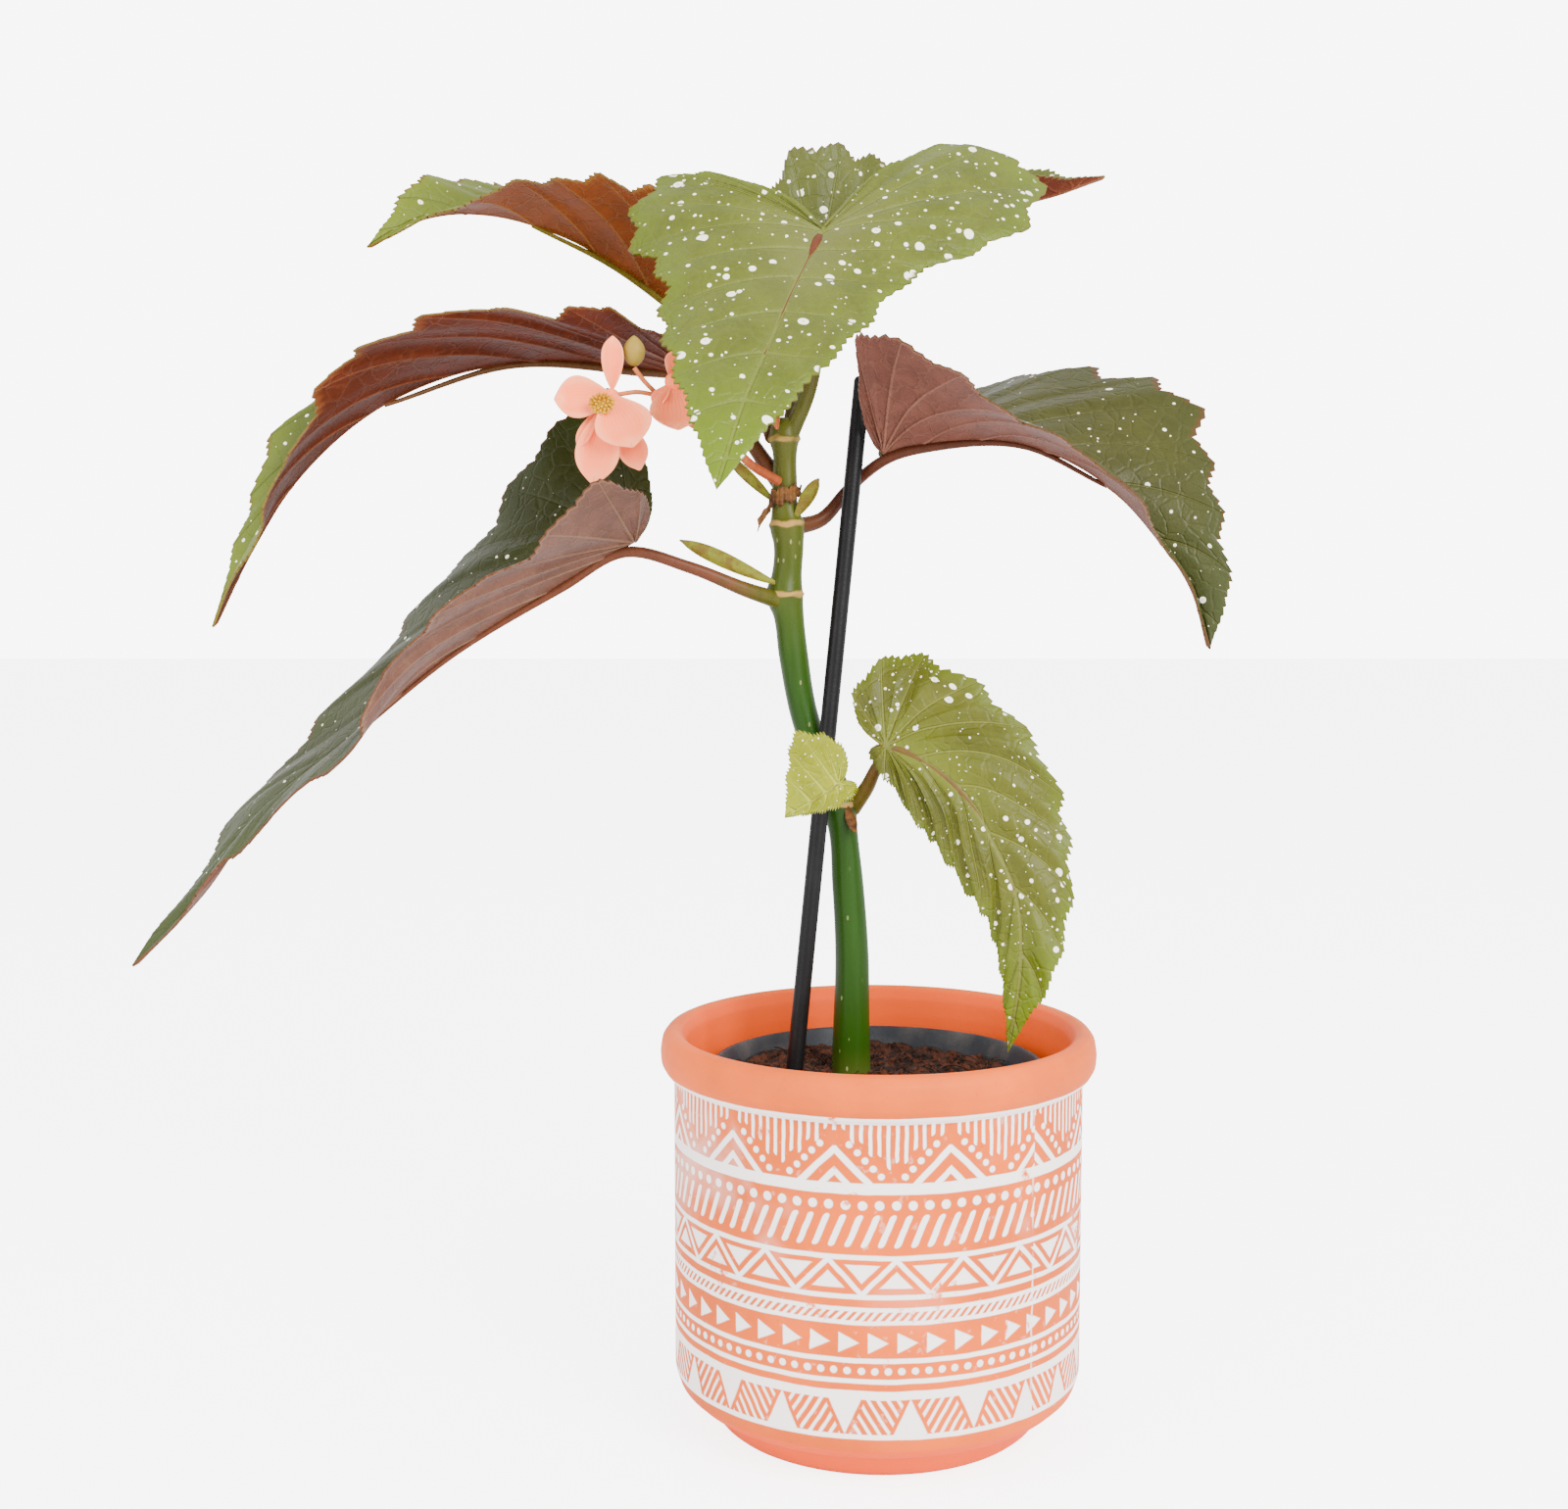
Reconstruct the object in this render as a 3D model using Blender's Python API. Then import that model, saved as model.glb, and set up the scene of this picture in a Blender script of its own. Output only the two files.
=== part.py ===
"""Potted cane begonia: terracotta cover pot, nursery pot, soil, stake, cane, leaves and flowers.

Run with: blender --background --python part.py
Units are metres, +Z is up and the front of the plant looks along -Y.
"""
import math
import random

import bmesh
import bpy
import numpy as np
from mathutils import Vector

MM = 0.001
CLEAR = 0.3            # air between two pieces that touch, mm

# Cover pot, radius and height in mm
POT_FACETS = 44
POT_PROFILE = [(0, 0), (54.5, 0), (57, 2), (62.5, 9.5), (66.5, 11.2), (70.5, 15), (72.2, 20),
               (72.2, 124.8), (74.8, 126.2), (76.7, 129.5), (77, 133.5), (76.3, 138), (74.4, 140.5),
               (72, 141.2), (69.6, 140), (67.8, 136.5), (67, 130), (66.4, 24), (62, 15.5), (57, 12.5),
               (0, 12.5)]

# Nursery pot, wall about 1.3 mm
NURSERY_FACETS = 40
NURSERY_PROFILE = [(0, 12.8), (43, 12.8), (45.5, 14.5), (55.6, 120), (58.4, 120.6), (59, 122), (59, 127),
                   (58.5, 128), (57.4, 128), (56.6, 126), (54.4, 119), (44.2, 16), (42, 14.3), (0, 14.3)]

# Soil
SOIL_TOP = 122.0
SOIL_SIDE = [(0, 14.6), (41.5, 14.6), (43.7, 16.2), (54.0, 119)]
SOIL_RINGS = [53.7, 45, 35, 25, 13]
SOIL_FACETS = 32
CRUMBS = 28
FIBRES = 9

# Stake: foot and head of its centre line, and its radius
STAKE_FOOT = (-38, -9.5, 40)
STAKE_HEAD = (-5.5, 16, 370)
STAKE_RADIUS = 3.0

# Cane: centre line and radius from the soil upwards; the bulges are leaf nodes
CANE = [(-9, 10, 101, 6.4), (-9, 10, 122, 7.0), (-9, 10, 140, 6.5), (-9, 11, 164, 6.0),
        (-10.5, 12, 190, 5.6), (-12.5, 13, 212, 5.4), (-13.5, 13.5, 218, 6.2), (-16, 14, 226, 5.3),
        (-25, 14, 247, 4.9), (-30, 14, 272, 5.2), (-31.8, 14, 287, 5.5), (-33, 14, 293.5, 6.6),
        (-32.4, 14, 299, 5.5), (-31.6, 14, 311, 5.3), (-32.2, 14, 318, 6.0), (-32.8, 14, 323, 4.8),
        (-33, 14, 333, 4.4), (-33, 14, 344, 4.4), (-33.2, 14, 348.5, 5.4), (-33, 14, 353, 4.4),
        (-33, 14, 355.5, 2.6)]
CANE_FACETS = 12
SCAR_HEIGHTS = [219, 293.5, 318.5, 348]

# Leaves. Every leaf is a flat blade outline folded along a midrib that bends in space.
#   stalk        petiole from the cane to the blade, mm
#   midrib       points of the midrib from the sinus to the tip, mm
#   up           side that the upper face looks to at the sinus
#   left, right  lobe length, half width, shift of the widest place, fullness towards the tip,
#                the first three as shares of the leaf's length
#   fold, curl   degrees, from the lobe to the tip, for the left and the right half
#   teeth, seed  number of teeth on each half, and the number that places its waves
BLADE_THICK = 0.9
LEAVES = {
    "leaf_top_left": dict(
        stalk=[(-37, 16, 349), (-41, 30, 360), (-46, 50, 374)],
        midrib=[(-55, 69, 387), (-84, 62, 407), (-112, 50, 423), (-139, 34, 429), (-160, 17, 425),
                (-177, 3, 413)],
        up=(0, 0, 1), left=(0.05, 0.30, -0.22, 1), right=(0.05, 0.26, -0.15, 1),
        fold_left=[45, 44, 32, 21, 17, 10, 5], fold_right=[30, 30, 30, 30, 38, 55, 60],
        curl_left=[20], curl_right=[-10], teeth=12, seed=1),
    "leaf_middle_left": dict(
        stalk=[(-35, 16, 333), (-44, 22, 346), (-53, 28, 361)],
        midrib=[(-61, 30, 371), (-89, 22, 374), (-120, 12, 375), (-149, 0, 369), (-174, -9, 356),
                (-199, -16, 332), (-214, -20, 308), (-226, -24, 283)],
        up=(0, 0, 1), left=(0.05, 0.24, -0.25, 1), right=(0.05, 0.20, -0.1, 1),
        fold_left=[14, 11, 9, 11, 17, 24, 22, 8, 0], fold_right=[15, 15, 15, 20, 25, 30, 35, 40, 40],
        curl_left=[10], curl_right=[2], teeth=13, seed=2),
    "leaf_low_left": dict(
        stalk=[(-34, 12, 291), (-46, 4, 295), (-66, -2, 303)],
        midrib=[(-85, -6, 312), (-116, -8, 294), (-153, -12, 270), (-183, -18, 244), (-211, -26, 220),
                (-229, -34, 194), (-250, -44, 171)],
        up=(0, 0, 1), left=(0.05, 0.20, 0, 1), right=(0.04, 0.24, 0.08, 1),
        fold_left=[22, 22, 17, 10, -5, -10, -10, -10], fold_right=[66, 64, 48, 28, 20, 22, 28, 28],
        curl_left=[10], curl_right=[-10], teeth=13, seed=3),
    "leaf_top_front": dict(
        stalk=[(-31, 13, 350), (-25, 13, 364), (-21, 13, 388), (-20, 8, 410)],
        midrib=[(-20, 0, 418), (-25, -12, 407), (-31, -28, 393), (-38, -46, 375), (-46, -64, 355),
                (-54, -84, 327)],
        up=(0.12, -0.7, 0.7), left=(0.30, 0.50, 0.46, 0.54), right=(0.05, 0.52, 0.09, 0.8),
        fold_left=[19, 16, 8, 5, 5, 5, 5], fold_right=[12, 10, 5, 0, 0, 0, 0],
        curl_left=[-20], curl_right=[-20], teeth=12, seed=4),
    "leaf_top_back": dict(
        stalk=[(-31, 18, 349), (-29, 33, 368), (-26, 50, 391)],
        midrib=[(-21, 60, 410), (3, 57, 414), (26, 53, 422), (50, 49, 434), (67, 43, 438),
                (82, 37, 443)],
        up=(0, 0, 1), left=(0.14, 0.44, 0, 1), right=(0.04, 0.26, -0.1, 1),
        fold_left=[78, 75, 70, 65, 55, 45, 30], fold_right=[25, 25, 25, 30, 50, 60, 60],
        curl_left=[10, 0, 0], curl_right=[0, 0, 0, -20, -60, -60], teeth=11, seed=5),
    "leaf_right": dict(
        stalk=[(-31, 16, 317), (-20, 21.5, 320), (-10, 21, 331)],
        midrib=[(1.5, 11.5, 343), (23, 10, 347), (50, 5, 346), (75, -2, 334), (94, -6, 315),
                (107, -9, 296), (113, -12, 275)],
        up=(0, 0, 1), left=(0.04, 0.39, -0.18, 1), right=(0.03, 0.30, 0, 1),
        fold_left=[32, 30, 22, 30, 52, 78, 88, 88], fold_right=[60, 60, 30, 12, 8, 5, 5, 5],
        curl_left=[2], curl_right=[2], teeth=12, seed=6),
    "leaf_young": dict(
        stalk=[(-9, 14, 217), (-4, 8, 225), (0, 1, 234)],
        midrib=[(2, -4, 241), (13, -8, 237), (30, -13, 224), (39, -17, 208), (46, -20, 192),
                (48, -22, 170), (44, -20, 136)],
        up=(0, -1, 0.2), left=(0.12, 0.26, 0.05, 1), right=(0.09, 0.15, -0.2, 1),
        fold_left=[5], fold_right=[-10], curl_left=[-20], curl_right=[-20], teeth=12, seed=7),
    "leaf_bud": dict(
        stalk=[(-13.5, 12, 221), (-12.5, 3, 222), (-12.8, -8, 226)],
        midrib=[(-14.5, -16, 229), (-19, -18, 226), (-26, -20, 222), (-33, -22, 218)],
        up=(0, -1, 0.2), left=(0.2, 0.32, 0, 1), right=(0.4, 1.05, -0.15, 1),
        fold_left=[20], fold_right=[20], curl_left=[2], curl_right=[2], teeth=7, seed=8),
}
FAN = 0.46             # share of the outline whose veins start at the petiole
SPREAD = 0.3           # width that the curl angles are given for, as a share of the leaf

# Flower stalk and its three short branches, mm
STALK = [(-35, 9, 333), (-44, 3, 338), (-52, -4, 345), (-60, -11, 349), (-67, -19, 353), (-76, -26, 361)]
BRANCHES = [[(-75, -25, 360), (-80, -27, 365), (-83, -28, 369)],
            [(-75, -25, 360), (-82, -28, 361), (-88, -31, 360)],
            [(-73, -24, 358), (-71, -26, 361), (-70, -27, 363)]]

# Petals: foot, tip, half width, way the inner face looks, cup in degrees, width of the tip's notch
FRONT_PETALS = [((-90, -31, 361), (-90, -30, 379), 3.6, (0.1, -1, 0.1), 70, 0.0),
                ((-89, -32, 359), (-109, -33, 358), 7.6, (-0.1, -1, 0.3), 35, 0.1),
                ((-91, -33, 360), (-83, -39, 342), 9.8, (0.2, -1, 0.1), 40, 0.1),
                ((-92, -32, 357), (-96, -37, 330), 7.6, (-0.1, -1, 0.2), 30, 0.1),
                ((-88, -31, 352), (-81, -33, 335), 5.2, (0.3, -1, 0.1), 45, 0.0),
                ((-95, -31, 355), (-101, -35, 342), 2.8, (-0.5, -1, 0.1), 50, 0.0)]
SIDE_PETALS = [((-70, -27, 364), (-68, -33, 348), 9.2, (0.1, -1, 0.2), 45, 0.1),
               ((-70, -27, 364), (-67, -26, 375), 4.6, (0, -1, 0.2), 55, 0.0),
               ((-71, -27, 364), (-76, -29, 356), 3.4, (-0.8, -1, 0.1), 45, 0.0)]
PETAL_THICK = 0.8

# Stipules, the small scales at the leaf nodes: material, then the same values as a petal
STIPULES = {
    "stipule_upright": ("stipule_green", (-30, 11, 319.5), (-21, 6, 334), 2.4, (0, -1, 0.1), 60, 0.0),
    "stipule_long": ("stipule_green", (-34, 11.5, 296), (-70, -3, 312), 3.0, (0, -1, 0.5), 60, 0.0),
    "stipule_crescent": ("stipule_green", (-35.5, 16, 325), (-54, 14, 343), 2.0, (-0.3, -1, 0), 60, 0.0),
    "stipule_top": ("flower_stalk_skin", (-35.5, 9.8, 350.5), (-38.5, 10, 365), 2.2, (0, -1, 0), 70, 0.0),
    "stipule_low": ("stipule_dry", (-11.5, 9, 219.5), (-8, 4, 209.5), 1.8, (0, -1, 0), 60, 0.0),
}

MATERIALS = {
    "terracotta": ((0.80, 0.33, 0.14), 0.75), "nursery_plastic": ((0.035, 0.04, 0.045), 0.5),
    "soil": ((0.055, 0.026, 0.014), 0.95), "stake_plastic": ((0.012, 0.010, 0.010), 0.4),
    "cane_skin": ((0.10, 0.17, 0.015), 0.45), "leaf_blade": ((0.13, 0.17, 0.035), 0.45),
    "flower_stalk_skin": ((0.55, 0.20, 0.12), 0.5), "petal": ((0.95, 0.42, 0.30), 0.55),
    "stamen": ((0.95, 0.60, 0.06), 0.6), "bud_skin": ((0.62, 0.50, 0.12), 0.55),
    "stipule_green": ((0.36, 0.32, 0.06), 0.6), "stipule_dry": ((0.25, 0.11, 0.04), 0.8),
}


def clear_scene():
    for obj in list(bpy.data.objects):
        bpy.data.objects.remove(obj, do_unlink=True)


def material(name):
    found = bpy.data.materials.get(name)
    if found:
        return found
    made = bpy.data.materials.new(name)
    made.use_nodes = True
    shader = made.node_tree.nodes["Principled BSDF"]
    colour, roughness = MATERIALS[name]
    shader.inputs["Base Color"].default_value = (*colour, 1)
    shader.inputs["Roughness"].default_value = roughness
    made.diffuse_color = (*colour, 1)
    return made


def add_object(name, points, faces, slot):
    """Object from points in mm and faces that already close up."""
    mesh = bpy.data.meshes.new(name)
    mesh.from_pydata([tuple(float(c) * MM for c in p) for p in points], [],
                     [tuple(int(i) for i in f) for f in faces])
    mesh.materials.append(material(slot))
    obj = bpy.data.objects.new(name, mesh)
    bpy.context.scene.collection.objects.link(obj)
    bm = bmesh.new()
    bm.from_mesh(mesh)
    bmesh.ops.recalc_face_normals(bm, faces=bm.faces)
    bmesh.ops.triangulate(bm, faces=bm.faces)
    bm.to_mesh(mesh)
    bm.free()
    return obj


def keep_largest(obj):
    """Drops scraps and sealed hollows: only the largest connected skin stays."""
    bm = bmesh.new()
    bm.from_mesh(obj.data)
    bmesh.ops.remove_doubles(bm, verts=bm.verts, dist=1e-6)
    left = set(bm.faces)
    islands = []
    while left:
        island, reach = set(), [left.pop()]
        while reach:
            face = reach.pop()
            island.add(face)
            for edge in face.edges:
                for other in edge.link_faces:
                    if other in left:
                        left.discard(other)
                        reach.append(other)
        islands.append(island)
    largest = max(islands, key=lambda group: sum(face.calc_area() for face in group))
    bmesh.ops.delete(bm, geom=[f for g in islands if g is not largest for f in g], context="FACES")
    bmesh.ops.delete(bm, geom=[v for v in bm.verts if not v.link_faces], context="VERTS")
    bmesh.ops.triangulate(bm, faces=bm.faces)
    bm.to_mesh(obj.data)
    bm.free()


def boolean(obj, others, operation="UNION", solver="EXACT"):
    """Applies one Boolean of obj with a collection, then removes the collection's objects."""
    tools = bpy.data.collections.new(obj.name + "_tools")
    bpy.context.scene.collection.children.link(tools)
    for other in others:
        bpy.context.scene.collection.objects.unlink(other)
        tools.objects.link(other)
        other.hide_render = True
        other.display_type = "WIRE"
    modifier = obj.modifiers.new("join", "BOOLEAN")
    modifier.operation = operation
    modifier.operand_type = "COLLECTION"
    modifier.collection = tools
    modifier.solver = solver
    bpy.context.view_layer.update()
    result = bpy.data.meshes.new_from_object(obj.evaluated_get(bpy.context.evaluated_depsgraph_get()))
    obj.modifiers.clear()
    slot = obj.data.materials[0]
    obj.data = result
    obj.data.materials.clear()
    obj.data.materials.append(slot)
    for polygon in obj.data.polygons:
        polygon.material_index = 0
    for other in others:
        bpy.data.objects.remove(other, do_unlink=True)
    bpy.data.collections.remove(tools)
    keep_largest(obj)
    return obj


def smooth(knots, values, at):
    """Cubic through values at knots, straight beyond both ends."""
    knots, values, at = np.asarray(knots, float), np.asarray(values, float), np.asarray(at, float)
    if values.ndim == 1:
        return smooth(knots, values[:, None], at)[..., 0]
    slope = np.gradient(values, knots, axis=0)
    i = np.clip(np.searchsorted(knots, at) - 1, 0, len(knots) - 2)
    step = (knots[i + 1] - knots[i])[..., None]
    t = ((at - knots[i])[..., None]) / step
    c = np.clip(t, 0, 1)
    start, end, out, into = values[i], values[i + 1], slope[i] * step, slope[i + 1] * step
    curve = ((2 * c**3 - 3 * c**2 + 1) * start + (c**3 - 2 * c**2 + c) * out
             + (3 * c**2 - 2 * c**3) * end + (c**3 - c**2) * into)
    return curve + np.minimum(t, 0) * out + np.maximum(t - 1, 0) * into


def along(points, count):
    """count places at even steps along a smooth line through points."""
    points = np.array(points, float)
    chord = np.r_[0, np.cumsum(np.linalg.norm(np.diff(points[:, :3], axis=0), axis=1))]
    fine = smooth(chord, points, np.linspace(0, chord[-1], 300))
    run = np.r_[0, np.cumsum(np.linalg.norm(np.diff(fine[:, :3], axis=0), axis=1))]
    want = np.linspace(0, run[-1], count)
    return np.stack([np.interp(want, run, fine[:, k]) for k in range(fine.shape[1])], 1)


def tube(name, line, sides, slot, wobble=None):
    """Closed tube along rows of (x, y, z, radius), with flat ends."""
    line = np.asarray(line, float)
    tangent = np.gradient(line[:, :3], axis=0)
    tangent /= np.linalg.norm(tangent, axis=1, keepdims=True)
    across = np.cross(tangent[0], (0.3, 1, 0.2))
    points = []
    for k, (place, way) in enumerate(zip(line, tangent)):
        across = across - way * across.dot(way)
        across /= np.linalg.norm(across)
        over = np.cross(way, across)
        for j in range(sides):
            a = 2 * math.pi * j / sides
            r = place[3] * (1 if wobble is None else wobble(k, j))
            points.append(place[:3] + (across * math.cos(a) + over * math.sin(a)) * r)
    rows = len(line)
    faces = [tuple(reversed(range(sides))), tuple(range((rows - 1) * sides, rows * sides))]
    for k in range(rows - 1):
        for j in range(sides):
            n = (j + 1) % sides
            faces.append((k * sides + j, k * sides + n, (k + 1) * sides + n, (k + 1) * sides + j))
    return add_object(name, points, faces, slot)


def turned(name, profile, facets, slot, height=None):
    """Solid turned round Z from a profile whose ends lie on the axis."""
    points, rows, faces = [], [], []
    for r, z in profile:
        if r == 0:
            rows.append([len(points)] * facets)
            points.append((0, 0, z))
            continue
        row = []
        for j in range(facets):
            a = 2 * math.pi * j / facets
            x, y = r * math.cos(a), r * math.sin(a)
            row.append(len(points))
            points.append((x, y, z if height is None else height(x, y, z)))
        rows.append(row)
    for low, high in zip(rows, rows[1:]):
        for j in range(facets):
            n = (j + 1) % facets
            corners = [low[j], low[n], high[n], high[j]]
            face = [c for i, c in enumerate(corners) if c not in corners[:i]]
            if len(face) > 2:
                faces.append(face)
    return add_object(name, points, faces, slot)


def make_pot():
    return turned("outer_pot", POT_PROFILE, POT_FACETS, "terracotta")


def make_nursery_pot():
    return turned("nursery_pot", NURSERY_PROFILE, NURSERY_FACETS, "nursery_plastic")


def bumps(x, y):
    """Soil surface above its mean level, mm."""
    return (0.9 * math.sin(x * 0.19 + 1.3) * math.cos(y * 0.23) + 0.6 * math.sin(x * 0.47 - y * 0.31)
            - 0.02 * x)


def make_soil():
    top = [(r, SOIL_TOP) for r in SOIL_RINGS] + [(0, SOIL_TOP)]
    soil = turned("potting_soil", SOIL_SIDE + top, SOIL_FACETS, "soil",
                  lambda x, y, z: z + bumps(x, y) if z >= SOIL_TOP else z)
    rng = random.Random(11)
    pieces = []
    for k in range(CRUMBS):
        a, r = rng.uniform(0, 2 * math.pi), 47 * math.sqrt(rng.uniform(0.02, 1))
        x, y = r * math.cos(a), r * math.sin(a)
        size = rng.uniform(1.6, 3.4)
        axes = [Vector([rng.uniform(-1, 1) for _ in range(3)]).normalized() for _ in range(2)]
        third = axes[0].cross(axes[1]).normalized()
        axes = [axes[0], third, axes[0].cross(third)]
        reach = [size, size * rng.uniform(0.5, 0.8), size * rng.uniform(0.5, 0.9)]
        centre = Vector((x, y, SOIL_TOP + bumps(x, y) + 0.25 * size))
        points = [centre + axes[i] * s * reach[i] for i in range(3) for s in (1, -1)]
        faces = [(a_, b_, c_) for a_ in (0, 1) for b_ in (2, 3) for c_ in (4, 5)]
        pieces.append(add_object(f"crumb_{k}", points, faces, "soil"))
    for k in range(FIBRES):
        left = k % 2 == 0
        x = rng.uniform(-44, -20) if left else rng.uniform(-10, 40)
        y = rng.uniform(0, 24) if left else rng.uniform(-36, 30)
        base = Vector((x, y, SOIL_TOP + bumps(x, y) - 3))
        lean = Vector((rng.uniform(-0.6, 0.6), rng.uniform(-0.5, 0.5), 1)).normalized()
        bend = Vector((rng.uniform(-1, 1), rng.uniform(-1, 1), -0.2)).normalized()
        length = rng.uniform(12, 19) if left else rng.uniform(8, 12)
        line = [(*(base + lean * length * t + bend * length * 0.45 * t * t), 0.75 - 0.3 * t)
                for t in (0, 0.3, 0.6, 0.85, 1)]
        pieces.append(tube(f"fibre_{k}", line, 3, "soil"))
    boolean(soil, pieces)
    holes = [cane_body("stem_hole", CLEAR + 0.1, lowest=CANE[0][2] - CLEAR, highest=145),
             stake_body("stake_hole", CLEAR + 0.1, sunk=CLEAR)]
    return boolean(soil, holes, "DIFFERENCE")


def stake_body(name, grow, sunk=0.0):
    foot, head = Vector(STAKE_FOOT), Vector(STAKE_HEAD)
    way = (head - foot).normalized()
    foot = foot - way * sunk
    length = (head - foot).length
    ends = [(0, 0.75), (1.2, 1), (length * 0.5, 1), (length - 1.5, 1), (length, 0.6)]
    line = [(*(foot + way * d), (STAKE_RADIUS * s) + grow) for d, s in ends]
    return tube(name, line, 12, "stake_plastic")


def cane_rows():
    """Rows of (x, y, z, radius) with a ridge at every leaf scar."""
    places = np.array(CANE, float)
    heights = list(np.arange(places[0, 2], places[-1, 2], 12.0)) + [places[-1, 2]]
    for z in SCAR_HEIGHTS:
        heights = [h for h in heights if abs(h - z) > 3.2] + [z - 2.2, z, z + 2.2]
    rows = smooth(places[:, 2], places, np.array(sorted(heights)))
    for row in rows:
        if min(abs(row[2] - z) for z in SCAR_HEIGHTS) < 1:
            row[3] += 0.5
    return rows


def cane_body(name, grow, lowest=None, highest=None):
    rows = cane_rows()
    rows[:, 3] += grow
    if highest is not None:
        rows = rows[rows[:, 2] < highest]
    if lowest is not None:
        rows[0, 2] = lowest
    else:
        rows[-1, 2] += grow
    return tube(name, rows, CANE_FACETS, "cane_skin")


def spread(values, count):
    """A short list stretched to count even stations."""
    return np.interp(np.linspace(0, 1, count), np.linspace(0, 1, len(values)), values)


def outline(half, u):
    """Edge of a flat half blade, as shares of the leaf's length, at share u from sinus to tip."""
    back, wide, shift, full = half
    y = np.array([0, .04, .17, .42, .72, .955, 1.0, .90 * full, .70 * full, .48 * full, .265 * full,
                  .10 * full, 0])
    brow = -min(.05, .3 * back)
    x = np.array([0, -.38 * back, -.80 * back, -back, -.75 * back, brow, .14, .32, .50, .67, .82, .93, 1.0])
    x = x - shift * y * np.clip(1 - x, 0, 1)
    edge = np.stack([x, y * wide], 1)
    run = np.r_[0, np.cumsum(np.linalg.norm(np.diff(edge, axis=0), axis=1))]
    return smooth(run / run[-1], edge, u)


class Sheet:
    """Maps a flat blade onto a midrib in space, folding and curling each half."""

    def __init__(self, leaf):
        points = np.array(leaf["midrib"], float)
        line = along(points, 241)
        chord = np.r_[0, np.cumsum(np.linalg.norm(np.diff(points, axis=0), axis=1))]
        self.length = float(np.sum(np.linalg.norm(np.diff(line, axis=0), axis=1)))
        tangent = np.gradient(line, axis=0)
        tangent /= np.linalg.norm(tangent, axis=1, keepdims=True)
        behind = np.linspace(-0.5, 0, 41)[:-1]
        self.share = np.r_[behind, np.linspace(0, 1, 241)]
        self.place = np.vstack([line[0] + behind[:, None] * self.length * tangent[0], line])
        tangent = np.vstack([np.repeat(tangent[:1], 40, 0), tangent])
        normal, normals = np.array(leaf["up"], float), []
        for way in tangent:
            normal = normal - way * normal.dot(way)
            normal = normal / np.linalg.norm(normal)
            normals.append(normal)
        self.normal = np.array(normals)
        self.side = np.cross(self.normal, tangent)
        stations = np.r_[-0.18, chord / chord[-1]]
        self.angle = {}
        for key in ("fold_left", "fold_right", "curl_left", "curl_right"):
            values = spread(leaf[key], len(stations))
            self.angle[key] = np.radians(smooth(stations, values, np.clip(self.share, -0.18, 1)))

    def at(self, x, y, lift=0.0):
        """Place in mm of flat point (x, y); y is positive on the left half."""
        def pick(table):
            return np.stack([np.interp(x, self.share, table[:, k]) for k in range(3)], -1)
        left = y >= 0
        fold = np.where(left, np.interp(x, self.share, self.angle["fold_left"]),
                        np.interp(x, self.share, self.angle["fold_right"]))
        curl = np.where(left, np.interp(x, self.share, self.angle["curl_left"]),
                        np.interp(x, self.share, self.angle["curl_right"]))
        curl = np.where(np.abs(curl) < 1e-3, 1e-3, curl)
        reach = np.abs(y) / SPREAD
        out = SPREAD / curl * (np.sin(fold + curl * reach) - np.sin(fold)) * self.length
        rise = SPREAD / curl * (np.cos(fold) - np.cos(fold + curl * reach)) * self.length
        return (pick(self.place) + pick(self.side) * (np.where(left, 1, -1) * out)[..., None]
                + pick(self.normal) * (rise + lift)[..., None])


def blade_grid(leaf, side, rows, columns):
    """Flat places of one half: rows run from sinus to tip, columns from the vein's foot to the edge."""
    half = leaf["left"] if side > 0 else leaf["right"]
    u = np.arange(1, rows) / rows
    t = np.array(columns)
    end = outline(half, u)
    run = np.clip((u - FAN) / (1 - FAN), 0, 1)
    start = run ** 1.25
    tooth = np.where(np.arange(1, rows) % 2 == 1, 1.0, -1.0)
    tooth = tooth * np.minimum(1, 9 * (1 - u)) * np.minimum(1, 12 * u)
    grow = 1 + 0.05 * tooth + 0.02 * np.sin(u * 23 + leaf["seed"])
    ex = start + (end[:, 0] - start) * grow
    ey = end[:, 1] * grow
    bow = 0.35 * np.minimum(1, run * 4) * (run > 0)
    x = start[:, None] * (1 - t) + ex[:, None] * t + ((ex - start) * bow)[:, None] * (t * t - t)
    y = ey[:, None] * t
    return u, t, start, x, y


def ripple(leaf, side, u, t, length):
    """Height in mm of the soft waves that grow towards the edge."""
    phase = leaf["seed"] * 1.7 + side
    wave = 0.6 * np.sin(2 * math.pi * 2.6 * u + phase) + 0.4 * np.sin(2 * math.pi * 6.1 * u + 2 * phase)
    return 0.016 * length * wave[:, None] * (t**2)[None, :] * np.minimum(1, 6 * (1 - u))[:, None]


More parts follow.
